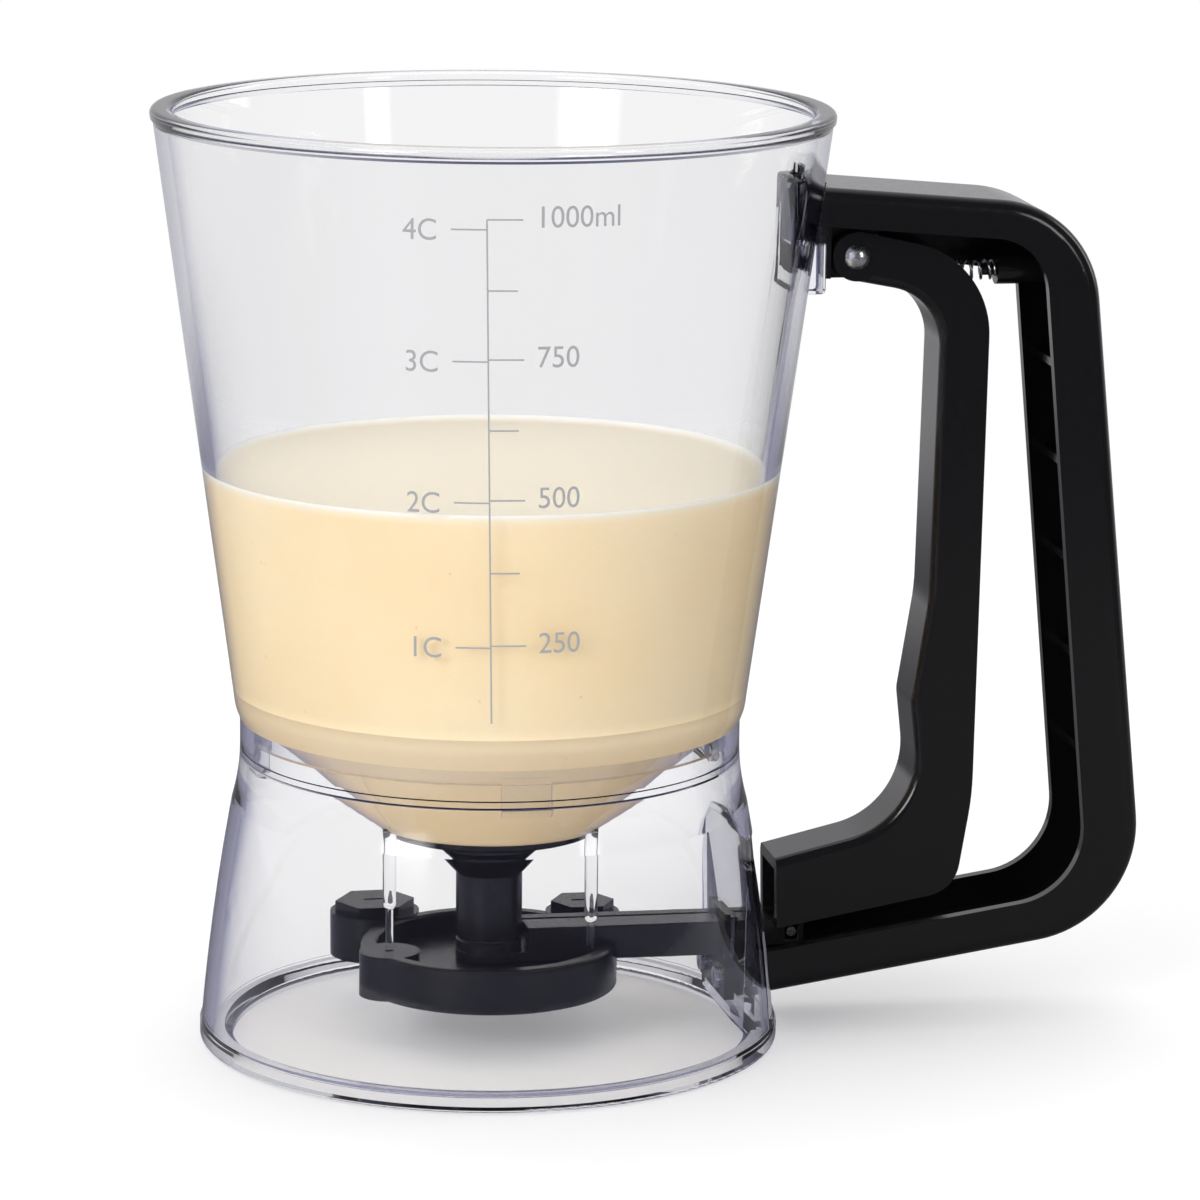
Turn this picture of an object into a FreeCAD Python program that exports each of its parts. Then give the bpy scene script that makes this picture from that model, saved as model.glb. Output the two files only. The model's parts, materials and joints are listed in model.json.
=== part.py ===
import FreeCAD, Part
import math
import os
import re
import Sketcher

# Squeeze-handle batter dispenser, in millimetres, +Z up, +X towards the handle.
# The origin is the centre of the foot ring, on the surface that the dispenser stands on.

sizes = {
    # clear bowl
    "rim_height": 186.8,
    "rim_radius": 67.0,
    "bead_height": 2.4,
    "bead_width": 4.4,
    "bead_rounding": 1.1,
    "bead_overhang": 0.6,
    "bowl_wall": 2.6,
    "shoulder_radius": 51.0,
    "shoulder_height": 69.9,
    "waist_radius": 49.8,
    "waist_height": 65.6,
    "funnel_top_radius": 45.5,
    "funnel_foot_radius": 21.6,
    "funnel_wall": 3.5,
    "bowl_floor_height": 71.6,
    "tongue_depth": 3.4,
    "tongue_width": 2.6,
    "hook_length": 6.7,
    "hook_stem": 1.9,
    "hook_angle": 12.0,
    "hook_count": 4,
    # socket on the bowl for the handle
    "socket_drop": 14.3,
    "socket_length": 22.5,
    "socket_width": 17.0,
    "socket_proud": 0.4,
    "socket_depth": 6.0,
    "slot_inset": 2.5,
    "slot_depth": 1.6,
    "slot_width": 9.8,
    "slot_neck": 5.8,
    "slot_length": 13.2,
    "slot_clearance": 0.15,
    # clear skirt
    "foot_radius": 58.0,
    "foot_height": 3.3,
    "foot_width": 6.5,
    "foot_ledge": 1.5,
    "foot_step": 0.3,
    "skirt_wall": 2.6,
    "flare_height": 48.5,
    "flare_radius": 51.5,
    "flare_bulge": 0.55,
    "neck_height": 60.0,
    "neck_hollow": 0.4,
    "ridge": 0.8,
    "seat_depth": 7.2,
    "seat_width": 32.0,
    "seat_wall": 2.4,
    "seat_floor": 4.6,
    "seat_top": 42.0,
    "window_width": 13.8,
    "window_clearance": 0.1,
    # outlet
    "plate_top": 43.1,
    "plate_thickness": 2.0,
    "plate_radius": 20.5,
    "sleeve_radius": 7.3,
    "sleeve_bore": 5.6,
    "sleeve_drop": 3.5,
    "mouth_height": 38.2,
    "mouth_radius": 10.5,
    "mouth_wall": 1.7,
    "throat_height": 33.3,
    "tube_radius": 6.65,
    "tube_bore": 5.0,
    "tube_foot": 20.1,
    "leg_radius": 0.85,
    "leg_count": 3,
    # valve dish
    "dish_radius": 25.8,
    "dish_rim": 3.5,
    "dish_foot": 10.35,
    "dish_height": 8.95,
    "floor_depth": 4.0,
    "floor_thickness": 2.0,
    "apron_wall": 2.4,
    "drip_bore": 5.2,
    "drip_wall": 1.6,
    "rib_thickness": 1.4,
    "rib_height": 2.4,
    "rib_count": 6,
    "rim_rounding": 1.1,
    "left_post_x": -21.0,
    "left_post_y": -6.7,
    "left_post_end": 29.0,
    "left_boss_radius": 6.0,
    "right_post_x": 18.6,
    "right_post_y": -12.2,
    "right_post_end": 26.4,
    "right_boss_radius": 3.0,
    "right_boss_drop": 1.6,
    "post_radius": 1.33,
    "pin_radius": 0.75,
    "pin_clearance": 0.1,
    "pin_depth": 3.4,
    "left_lug_x": -20.0,
    "left_lug_y": 25.0,
    "left_lug_radius": 9.2,
    "right_lug_x": 22.4,
    "right_lug_y": 18.6,
    "right_lug_radius": 7.6,
    "lug_rise": 0.3,
    "cap_margin": 1.0,
    "cap_height": 2.1,
    "cap_slot_length": 4.4,
    "cap_slot_width": 1.0,
    "cap_slot_depth": 0.7,
    # sliding gate
    "puck_radius": 6.6,
    "puck_thickness": 2.25,
    "puck_gap": 0.25,
    "puck_stem": 1.7,
    "nose_radius": 6.7,
    "arm_lift": 0.3,
    "arm_height": 7.0,
    "arm_width": 11.2,
    "arm_gap": 0.4,
    "arm_wall": 2.0,
    "arm_groove_y": 2.0,
    "arm_groove": 0.9,
    "arm_groove_depth": 0.5,
    "arm_reach": 12.7,
    "fork_length": 6.5,
    "fork_rise": 1.4,
    "hitch_reach": 10.2,
    "hitch_rise": 4.1,
    "hitch_radius": 1.0,
    "hitch_side_gap": 0.3,
    "hitch_play": 0.25,
    "hitch_climb": 0.4,
    "tongue_thickness": 3.2,
    "tongue_half_length": 2.2,
    "stroke": 15.0,
    # handle
    "handle_drop": 14.9,
    "grip_width": 28.0,
    "cheek": 2.4,
    "handle_wall": 3.0,
    "top_fall": 4.6,
    "top_reach": 52.8,
    "top_depth": 7.5,
    "spine_depth_top": 10.0,
    "spine_drop_top": 6.7,
    "foot_reach": 82.0,
    "foot_rise": 21.2,
    "foot_start": 8.5,
    "foot_depth": 8.9,
    "spine_depth_foot": 12.5,
    "spine_lift_foot": 7.1,
    "top_corner": 22.0,
    "foot_corner": 23.5,
    "top_inner_corner": 11.5,
    "foot_inner_corner": 15.0,
    "grip_rounding": 2.9,
    "end_wall": 3.2,
    "end_wall_top": 14.3,
    "bowl_gap": 0.3,
    "handle_rib": 1.6,
    "handle_rib_depth": 5.0,
    "handle_rib_count": 5,
    "web_start": 9.0,
    "web_drop_left": 16.9,
    "web_drop_right": 20.9,
    "web_root": 2.0,
    # trigger and its hinge
    "pivot_reach": 6.2,
    "pivot_drop": 14.5,
    "eye_radius": 4.9,
    "trigger_width": 16.4,
    "trigger_cheek": 2.2,
    "trigger_web": 2.4,
    "trigger_rounding": 1.9,
    "back_corner": 19.0,
    "back_sweep": 60.0,
    "heel_corner": 7.5,
    "crook_corner": 17.0,
    "notch_corner": 6.0,
    "blade_sweep": 60.0,
    "neck_corner": 11.7,
    "blade_reach": 27.2,
    "blade_depth": 9.8,
    "heel_height": 26.6,
    "toe_height": 21.2,
    "toe_depth": 14.2,
    "toe_reach": 6.6,
    "trigger_rib": 1.6,
    "trigger_rib_count": 4,
    "rivet_radius": 1.5,
    "rivet_head_radius": 2.55,
    "rivet_dome": 1.5,
    "running_clearance": 0.1,
    "lug_width": 9.2,
    "lug_radius": 4.6,
    "washer_radius": 3.6,
    "washer_gap": 0.1,
    "bracket_width": 16.0,
    "bracket_thickness": 1.0,
    "bracket_plate": 2.6,
    "bracket_length": 20.5,
    # spring
    "spring_drop": 4.0,
    "spring_start": 17.1,
    "spring_length": 12.8,
    "coil_radius": 1.85,
    "spring_wire": 0.55,
    "coil_turns": 6,
    "coil_end_gap": 0.08,
    "spring_peg": 1.2,
    "peg_length": 3.2,
    "seat_peg_radius": 3.0,
    # fixings
    "screw_radius": 1.2,
    "screw_head_radius": 2.2,
    "screw_head": 1.3,
    "screw_hole_gap": 0.05,
    "screw_bite": 2.2,
    "bracket_screw_reach": 16.6,
    "bracket_screw_y": 8.0,
    "clip_width": 22.0,
    "clip_thickness": 2.0,
    "clip_foot": 7.6,
    "clip_top": 14.2,
    "clip_screw_y": 7.0,
    "clip_screw_height": 11.4,
    "guide_wall": 0.9,
    "guide_flange": 0.8,
}

document = FreeCAD.newDocument("BatterDispenser")
sheet = document.addObject("Spreadsheet::Sheet", "Sizes")
for row, (name, amount) in enumerate(sizes.items(), start=1):
    sheet.set("A%d" % row, name)
    sheet.set("B%d" % row, "%g" % amount)
    sheet.setAlias("B%d" % row, name)
document.recompute()


def bound(text):
    """the same expression, with every size read from the sheet"""
    return re.sub(r"[a-z]\w+", lambda word: "Sizes." + word.group() if word.group() in sizes else word.group(), str(text))


def amount_of(text):
    """what an expression is worth now"""
    return float(sheet.evalExpression(bound(text)))


def tie(thing, field, text):
    thing.setExpression(field, bound(text))


# Places that several pieces share

lip_height = "(rim_height - bead_height)"
plate_foot = "(plate_top - plate_thickness)"
dish_top = "(dish_foot + dish_height)"
dish_floor = "(dish_top_height - floor_depth)".replace("dish_top_height", dish_top)
arm_foot = f"({dish_floor} + arm_lift)"
arm_top = f"({arm_foot} + arm_height)"
nose_top = "(tube_foot - puck_gap - puck_thickness)"
lug_top = f"({dish_top} + lug_rise)"
panel_face = "(foot_radius - seat_depth)"
panel_back = f"({panel_face} - skirt_wall)"
handle_top = "(rim_height - handle_drop)"
socket_top = "(rim_height - socket_drop)"
socket_foot = f"({socket_top} - socket_length)"


def bowl_radius(height):
    """outside radius of the bowl at a height"""
    return f"(shoulder_radius + ({height} - shoulder_height) * (rim_radius - bead_overhang - shoulder_radius)" \
           f" / ({lip_height} - shoulder_height))"


def funnel_height(radius):
    """height of the funnel's outside at a radius"""
    return f"(plate_top + ({radius} - funnel_foot_radius) * (waist_height - plate_top)" \
           f" / (funnel_top_radius - funnel_foot_radius))"


socket_face = f"({bowl_radius(socket_top)} + socket_proud)"
pivot_x = f"({socket_face} + pivot_reach)"
pivot_z = f"({handle_top} - pivot_drop)"
hitch_x = f"({panel_face} + hitch_reach)"
hitch_z = f"({arm_foot} + hitch_rise)"
arm_end = f"({panel_face} + arm_reach)"
spring_x = f"({pivot_x} + spring_start)"
spring_z = f"({pivot_z} - spring_drop)"
ceiling_slope = "(top_fall / (top_reach + handle_wall))"


def ceiling(x):
    """underside of the handle's top wall"""
    return f"({handle_top} - handle_wall - ({x} - {socket_face} + handle_wall) * {ceiling_slope})"


# Sketch and feature helpers

def new_body(name):
    body = document.addObject("PartDesign::Body", name)
    body.Label = name
    return body


def sketch_on(body, plane, name, lift=None):
    sketch = body.newObject("Sketcher::SketchObject", name)
    face = [item for item in body.Origin.OriginFeatures if item.Role == plane][0]
    sketch.AttachmentSupport = [(face, "")]
    sketch.MapMode = "FlatFace"
    if lift is not None:
        tie(sketch, "AttachmentOffset.Base.z", lift)
    return sketch


def hold(sketch, item, end, axis, text):
    """keep one point of a sketch at a stated distance from the origin along one axis"""
    amount = amount_of(text)
    if abs(amount) < 1e-9:
        line = -2 if axis == "X" else -1
        sketch.addConstraint(Sketcher.Constraint("PointOnObject", item, end, line))
        return
    if amount > 0:
        rule = Sketcher.Constraint("Distance" + axis, -1, 1, item, end, amount)
    else:
        rule = Sketcher.Constraint("Distance" + axis, item, end, -1, 1, -amount)
        text = f"-({text})"
    index = sketch.addConstraint(rule)
    sketch.setExpression(f"Constraints[{index}]", bound(text))


def end_near(sketch, item, spot):
    """1 or 2, whichever end of the side lies at the spot"""
    return min((1, 2), key=lambda end: (sketch.getPoint(item, end) - spot).Length)


def outline(sketch, points, bends=None):
    """a closed outline; a side named in bends is an arc through the place given there"""
    bends = bends or {}
    spots = [FreeCAD.Vector(amount_of(x), amount_of(y), 0) for x, y in points]
    items = []
    for index, start in enumerate(spots):
        end = spots[(index + 1) % len(spots)]
        if index in bends:
            via = FreeCAD.Vector(amount_of(bends[index][0]), amount_of(bends[index][1]), 0)
            items.append(sketch.addGeometry(Part.Arc(start, via, end)))
        else:
            items.append(sketch.addGeometry(Part.LineSegment(start, end)))
    for index, spot in enumerate(spots):
        before, after = items[index - 1], items[index]
        end = end_near(sketch, after, spot)
        sketch.addConstraint(Sketcher.Constraint("Coincident", before, end_near(sketch, before, spot), after, end))
        hold(sketch, after, end, "X", points[index][0])
        hold(sketch, after, end, "Y", points[index][1])
    for index, (x, y) in bends.items():
        mark = sketch.addGeometry(Part.Point(FreeCAD.Vector(amount_of(x), amount_of(y), 0)), True)
        hold(sketch, mark, 1, "X", x)
        hold(sketch, mark, 1, "Y", y)
        sketch.addConstraint(Sketcher.Constraint("PointOnObject", mark, 1, items[index]))


def rounded_outline(sketch, points, rounds):
    """a closed outline of straight sides whose corners named in rounds are arcs of a given radius"""
    spots = [FreeCAD.Vector(amount_of(x), amount_of(y), 0) for x, y in points]
    starts, ends, arcs = list(spots), list(spots), {}
    for index, radius in rounds.items():
        corner = spots[index]
        back = (spots[index - 1] - corner).normalize()
        ahead = (spots[(index + 1) % len(spots)] - corner).normalize()
        half = back.getAngle(ahead) / 2
        reach = amount_of(radius) / math.tan(half)
        ends[index] = corner + back * reach
        starts[index] = corner + ahead * reach
        middle = (back + ahead).normalize()
        via = corner + middle * (amount_of(radius) / math.sin(half) - amount_of(radius))
        arcs[index] = Part.Arc(ends[index], via, starts[index])
    sides = [sketch.addGeometry(Part.LineSegment(starts[index], ends[(index + 1) % len(spots)]))
             for index in range(len(spots))]
    for index, (x, y) in enumerate(points):
        before, after = sides[index - 1], sides[index]
        if index not in rounds:
            sketch.addConstraint(Sketcher.Constraint("Coincident", before, 2, after, 1))
            hold(sketch, after, 1, "X", x)
            hold(sketch, after, 1, "Y", y)
            continue
        bend = sketch.addGeometry(arcs[index])
        for side, end, spot in ((before, 2, ends[index]), (after, 1, starts[index])):
            sketch.addConstraint(Sketcher.Constraint("Tangent", side, end, bend, end_near(sketch, bend, spot)))
        mark = sketch.addGeometry(Part.Point(spots[index]), True)
        hold(sketch, mark, 1, "X", x)
        hold(sketch, mark, 1, "Y", y)
        sketch.addConstraint(Sketcher.Constraint("PointOnObject", mark, 1, before))
        sketch.addConstraint(Sketcher.Constraint("PointOnObject", mark, 1, after))
        rule = sketch.addConstraint(Sketcher.Constraint("Radius", bend, amount_of(rounds[index])))
        sketch.setExpression(f"Constraints[{rule}]", bound(rounds[index]))


def ring(sketch, x, y, radius):
    centre = FreeCAD.Vector(amount_of(x), amount_of(y), 0)
    item = sketch.addGeometry(Part.Circle(centre, FreeCAD.Vector(0, 0, 1), amount_of(radius)))
    hold(sketch, item, 3, "X", x)
    hold(sketch, item, 3, "Y", y)
    index = sketch.addConstraint(Sketcher.Constraint("Radius", item, amount_of(radius)))
    sketch.setExpression(f"Constraints[{index}]", bound(radius))


def box_points(low_x, high_x, low_y, high_y):
    return [(low_x, low_y), (high_x, low_y), (high_x, high_y), (low_x, high_y)]


def check_cut(body, before, feature):
    document.recompute()
    if not body.Shape.Volume < before - 1e-6:
        raise RuntimeError(f"{body.Label}: {feature.Name} cut nothing")


def pad(body, sketch, length, both=False):
    feature = body.newObject("PartDesign::Pad", sketch.Name + "Pad")
    feature.Profile = sketch
    tie(feature, "Length", length)
    if both:
        feature.SideType = "Symmetric"
    document.recompute()
    return feature


def pocket(body, sketch, length, both=False):
    document.recompute()
    before = body.Shape.Volume
    feature = body.newObject("PartDesign::Pocket", sketch.Name + "Pocket")
    feature.Profile = sketch
    tie(feature, "Length", length)
    if both:
        feature.SideType = "Symmetric"
    check_cut(body, before, feature)
    return feature


def spin(body, sketch, cut=False, angle=None):
    document.recompute()
    before = body.Shape.Volume if cut else 0
    kind = "PartDesign::Groove" if cut else "PartDesign::Revolution"
    feature = body.newObject(kind, sketch.Name + "Spin")
    feature.Profile = sketch
    feature.ReferenceAxis = (sketch, ["V_Axis"])
    feature.Angle = 360
    if angle:
        tie(feature, "Angle", angle)
        feature.Midplane = True
    if cut:
        check_cut(body, before, feature)
    else:
        document.recompute()
    return feature


def add_block(body, plane, name, points, low, high, bends=None):
    """a prism that stands between two distances from an origin plane"""
    sketch = sketch_on(body, plane, name, low)
    outline(sketch, points, bends)
    return pad(body, sketch, f"({high}) - ({low})")


def cut_block(body, plane, name, points, low, high, bends=None):
    sketch = sketch_on(body, plane, name, high)
    outline(sketch, points, bends)
    return pocket(body, sketch, f"({high}) - ({low})")


def add_round(body, plane, name, x, y, radius, low, high):
    sketch = sketch_on(body, plane, name, low)
    ring(sketch, x, y, radius)
    return pad(body, sketch, f"({high}) - ({low})")


def cut_round(body, plane, name, x, y, radius, low, high):
    sketch = sketch_on(body, plane, name, high)
    ring(sketch, x, y, radius)
    return pocket(body, sketch, f"({high}) - ({low})")


def across(body, name, points, width, cut=False, bends=None):
    """a prism or a cut of a width centred on the handle's plane"""
    sketch = sketch_on(body, "XZ_Plane", name)
    outline(sketch, points, bends)
    return pocket(body, sketch, width, True) if cut else pad(body, sketch, width, True)


def across_disc(body, name, x, z, radius, width):
    sketch = sketch_on(body, "XZ_Plane", name)
    ring(sketch, x, z, radius)
    return pad(body, sketch, width, True)


def cross_hole(body, name, x, z, radius, width):
    sketch = sketch_on(body, "XZ_Plane", name)
    ring(sketch, x, z, radius)
    return pocket(body, sketch, width, True)


def turned(name, points, bends=None):
    """a body of revolution about the bowl's axis"""
    body = new_body(name)
    sketch = sketch_on(body, "XZ_Plane", name + "_profile")
    outline(sketch, points, bends)
    spin(body, sketch)
    return body


def repeat(body, feature, count):
    """copies of a feature, evenly round the bowl's axis"""
    pattern = body.newObject("PartDesign::PolarPattern", feature.Name + "Ring")
    pattern.Originals = [feature]
    axis = [item for item in body.Origin.OriginFeatures if item.Role == "Z_Axis"][0]
    pattern.Axis = (axis, [""])
    pattern.Angle = 360
    tie(pattern, "Occurrences", count)
    body.Tip = pattern
    document.recompute()
    return pattern


def round_edges(body, name, radius, test):
    """a fillet on the tip's edges that pass a test"""
    document.recompute()
    base = body.Tip
    edges = ["Edge%d" % (index + 1) for index, edge in enumerate(base.Shape.Edges) if test(edge)]
    if not edges:
        raise RuntimeError(f"{body.Label}: no edge to round for {name}")
    feature = body.newObject("PartDesign::Fillet", name)
    feature.Base = (base, edges)
    tie(feature, "Radius", radius)
    document.recompute()
    if "Invalid" in feature.State or feature.Shape.isNull():
        raise RuntimeError(f"{body.Label}: {name} can't be rounded")
    return feature


def edge_points(edge):
    first, last = edge.ParameterRange
    return [edge.valueAt(first + (last - first) * share) for share in (0.0, 0.5, 1.0)]


def on_side(width, start, end):
    """a test for the two long edges of a prism on the line between two corners of its outline"""
    rim = amount_of(width) / 2
    first = FreeCAD.Vector(amount_of(start[0]), 0, amount_of(start[1]))
    run = FreeCAD.Vector(amount_of(end[0]), 0, amount_of(end[1])) - first

    def near(spot):
        way = FreeCAD.Vector(spot.x, 0, spot.z) - first
        return abs(abs(spot.y) - rim) < 1e-4 and (way - run * (way.dot(run) / run.dot(run))).Length < 0.02

    return lambda edge: all(near(spot) for spot in edge_points(edge))


# Clear bowl: tapered wall, rim bead, shoulder, funnel, snap hooks and handle socket

def make_hopper():
    tongue_in = "(tongue_out - tongue_width)".replace("tongue_out", "(waist_radius - skirt_wall - slot_clearance)")
    tongue_out = "(waist_radius - skirt_wall - slot_clearance)"
    tongue_foot = "(waist_height - tongue_depth)"
    bead_in = "(rim_radius - bead_width)"
    body = turned("hopper", [
        ("funnel_foot_radius - funnel_wall", "plate_top"),
        ("funnel_foot_radius", "plate_top"),
        (tongue_in, funnel_height(tongue_in)),
        (tongue_in, tongue_foot),
        (tongue_out, tongue_foot),
        (tongue_out, "waist_height"),
        ("waist_radius", "waist_height"),
        ("shoulder_radius", "shoulder_height"),
        ("rim_radius - bead_overhang", lip_height),
        ("rim_radius", f"{lip_height} + bead_overhang"),
        ("rim_radius", "rim_height - bead_rounding"),
        ("rim_radius - bead_rounding", "rim_height"),
        (f"{bead_in} + bead_rounding", "rim_height"),
        (bead_in, "rim_height - bead_rounding"),
        (bead_in, f"{lip_height} + bead_overhang"),
        ("rim_radius - bead_overhang - bowl_wall", f"{lip_height} - bead_overhang"),
        (f"{bowl_radius('bowl_floor_height')} - bowl_wall", "bowl_floor_height"),
    ], {
        6: ("waist_radius + 0.25", "(waist_height + shoulder_height) / 2 - 0.5"),
        10: ("rim_radius - bead_rounding * 0.293", "rim_height - bead_rounding * 0.293"),
        12: (f"{bead_in} + bead_rounding * 0.293", "rim_height - bead_rounding * 0.293"),
    })
    hook_out = "(tongue_out - ridge)".replace("tongue_out", tongue_out)
    hook_foot = f"({tongue_foot} - hook_length)"
    sketch = sketch_on(body, "XZ_Plane", "hook_profile")
    outline(sketch, [
        (f"{hook_out} - hook_stem", f"{tongue_foot} + 1"),
        (f"{hook_out} - hook_stem", hook_foot),
        (hook_out, hook_foot),
        (tongue_out, f"{hook_foot} + 0.9"),
        (tongue_out, f"{hook_foot} + 1.5"),
        (hook_out, f"{hook_foot} + 1.8"),
        (hook_out, f"{tongue_foot} + 1"),
    ])
    hook = spin(body, sketch, angle="hook_angle")
    repeat(body, hook, "hook_count")
    half = "(socket_width / 2)"
    add_block(body, "XY_Plane", "socket_block",
              box_points(f"{socket_face} - socket_depth", socket_face, f"-{half}", half), socket_foot, socket_top)
    flange_out = f"({socket_face} - slot_inset)"
    cut_block(body, "XY_Plane", "socket_slot", [
        (f"{flange_out} - slot_depth", "-slot_width / 2"),
        (flange_out, "-slot_width / 2"),
        (flange_out, "-slot_neck / 2"),
        (f"{socket_face} + 1", "-slot_neck / 2"),
        (f"{socket_face} + 1", "slot_neck / 2"),
        (flange_out, "slot_neck / 2"),
        (flange_out, "slot_width / 2"),
        (f"{flange_out} - slot_depth", "slot_width / 2"),
    ], f"{socket_top} - slot_length", f"{socket_top} + 1")
    return body


# Clear skirt that the bowl snaps onto, with a flat seat for the handle's foot

def make_skirt():
    hook_foot = "(waist_height - tongue_depth - hook_length)"
    inner_top = "(waist_radius - skirt_wall)"
    foot_in = "(foot_radius - foot_width)"
    wall_foot = "(foot_radius - foot_step)"
    mid = "((flare_height + foot_height) / 2)"
    mid_radius = f"(({wall_foot} + flare_radius) / 2 + flare_bulge)"
    high = "((flare_height + neck_height) / 2)"
    high_radius = "((flare_radius + waist_radius) / 2 - neck_hollow)"
    outside = [
        (wall_foot, "foot_height"),
        ("flare_radius", "flare_height"),
        ("waist_radius", "neck_height"),
        ("waist_radius", "waist_height"),
    ]
    body = turned("base_skirt", [
        (foot_in, "0"),
        ("foot_radius - 0.8", "0"),
        ("foot_radius", "0.8"),
        ("foot_radius", "foot_height"),
    ] + outside + [
        (inner_top, "waist_height"),
        (inner_top, f"{hook_foot} + 3.6"),
        (f"{inner_top} - ridge + 0.1", f"{hook_foot} + 3.2"),
        (f"{inner_top} - ridge + 0.1", f"{hook_foot} + 2.1"),
        (inner_top, f"{hook_foot} + 1.8"),
        ("flare_radius - skirt_wall", "flare_height - 0.5"),
        (f"{wall_foot} - skirt_wall", "foot_height"),
        (f"{foot_in} + foot_ledge", "foot_height"),
        (foot_in, "foot_height - foot_ledge"),
    ], {
        1: ("foot_radius - 0.234", "0.234"),
        4: (mid_radius, mid),
        5: (high_radius, high),
        13: (f"{mid_radius} - skirt_wall", mid),
    })
    half = "(seat_width / 2)"
    outer_half = f"({half} + seat_wall)"
    add_block(body, "XY_Plane", "seat_block",
              box_points(panel_back, "foot_radius + 4", f"-{outer_half}", outer_half),
              "foot_height - 0.5", "seat_top + seat_wall")
    trim = sketch_on(body, "XZ_Plane", "seat_trim")
    outline(trim, [("foot_radius + 12", "0.1")] + [("foot_radius", "0.1"), ("foot_radius", "foot_height")]
            + outside + [("foot_radius + 12", "waist_height")], {3: (mid_radius, mid), 4: (high_radius, high)})
    spin(body, trim, cut=True)
    cut_block(body, "XY_Plane", "seat_recess", box_points(panel_face, "foot_radius + 4", f"-{half}", half),
              "seat_floor", "seat_top")
    window_half = "(window_width / 2)"
    cut_block(body, "YZ_Plane", "arm_window",
              box_points(f"-{window_half}", window_half, f"{arm_foot} - arm_lift - guide_wall",
                         f"{arm_top} + arm_lift + guide_wall"),
              f"{panel_back} - 1", f"{panel_face} + 1")
    for side, name in ((-1, "left"), (1, "right")):
        cut_round(body, "YZ_Plane", f"clip_hole_{name}", f"{side} * clip_screw_y", "clip_screw_height",
                  "screw_radius + screw_hole_gap", f"{panel_back} - 1", f"{panel_face} + 1")
    return body


# Outlet plate, soft sleeve and nozzle, all on the bowl's axis

def make_outlet():
    turned("outlet_plate", [
        ("sleeve_radius + pin_clearance", plate_foot),
        ("plate_radius - 0.4", plate_foot),
        ("plate_radius", f"{plate_foot} + 0.4"),
        ("plate_radius", "plate_top - 0.4"),
        ("plate_radius - 0.4", "plate_top"),
        ("sleeve_radius + pin_clearance", "plate_top"),
    ])
    turned("outlet_sleeve", [
        ("sleeve_bore", f"{plate_foot} - sleeve_drop"),
        ("sleeve_radius", f"{plate_foot} - sleeve_drop"),
        ("sleeve_radius", "plate_top"),
        ("sleeve_bore", "plate_top"),
    ])
    body = turned("nozzle", [
        ("tube_bore", "tube_foot"),
        ("tube_radius - 0.3", "tube_foot"),
        ("tube_radius", "tube_foot + 0.3"),
        ("tube_radius", "throat_height"),
        ("mouth_radius", "mouth_height - 0.6"),
        ("mouth_radius", "mouth_height"),
        ("mouth_radius - mouth_wall", "mouth_height"),
        ("tube_bore", "throat_height"),
    ])
    leg = add_round(body, "XY_Plane", "nozzle_leg", "0", "mouth_radius - mouth_wall / 2", "leg_radius",
                    "mouth_height - 0.4", plate_foot)
    repeat(body, leg, "leg_count")
    return body


# Valve dish with its post bosses and lugs

def make_dish():
    under = f"({dish_floor} - floor_thickness)"
    inside = "(dish_radius - dish_rim)"
    apron = "(dish_radius - apron_wall)"
    body = turned("valve_dish", [
        ("drip_bore", "dish_foot"),
        ("drip_bore + drip_wall", "dish_foot"),
        ("drip_bore + drip_wall", under),
        (apron, under),
        (apron, "dish_foot"),
        ("dish_radius - 0.6", "dish_foot"),
        ("dish_radius", "dish_foot + 0.6"),
        ("dish_radius", f"{dish_top} - rim_rounding"),
        ("dish_radius - rim_rounding", dish_top),
        (f"{inside} + 0.5", dish_top),
        (inside, f"{dish_top} - 0.5"),
        (inside, dish_floor),
        ("drip_bore", dish_floor),
    ], {
        5: ("dish_radius - 0.176", "dish_foot + 0.176"),
        7: ("dish_radius - rim_rounding * 0.293", f"{dish_top} - rim_rounding * 0.293"),
    })
    rib = add_block(body, "XY_Plane", "dish_rib",
                    box_points("drip_bore + drip_wall / 2", f"{apron} + apron_wall / 2",
                               "-rib_thickness / 2", "rib_thickness / 2"),
                    f"{under} - rib_height", f"{under} + floor_thickness / 2")
    repeat(body, rib, "rib_count")
    add_round(body, "XY_Plane", "left_boss", "left_post_x", "left_post_y", "left_boss_radius", "dish_foot", dish_top)
    add_round(body, "XY_Plane", "right_boss", "right_post_x", "right_post_y", "right_boss_radius",
              under, f"{dish_top} - right_boss_drop")
    add_round(body, "XY_Plane", "left_lug", "left_lug_x", "left_lug_y", "left_lug_radius", "dish_foot", lug_top)
    add_round(body, "XY_Plane", "right_lug", "right_lug_x", "right_lug_y", "right_lug_radius", "dish_foot", lug_top)
    notch = "(arm_width / 2 + arm_gap)"
    cut_block(body, "XY_Plane", "arm_notch", box_points("dish_radius - dish_rim - 2", "dish_radius + 2",
                                                        f"-{notch}", notch), dish_floor, f"{dish_top} + 1")
    cut_round(body, "XY_Plane", "left_pin_hole", "left_post_x", "left_post_y", "pin_radius + pin_clearance",
              f"{dish_top} - pin_depth", f"{dish_top} + 1")
    cut_round(body, "XY_Plane", "right_pin_hole", "right_post_x", "right_post_y", "pin_radius + pin_clearance",
              f"{dish_top} - pin_depth", f"{dish_top} + 1")
    return body


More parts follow.
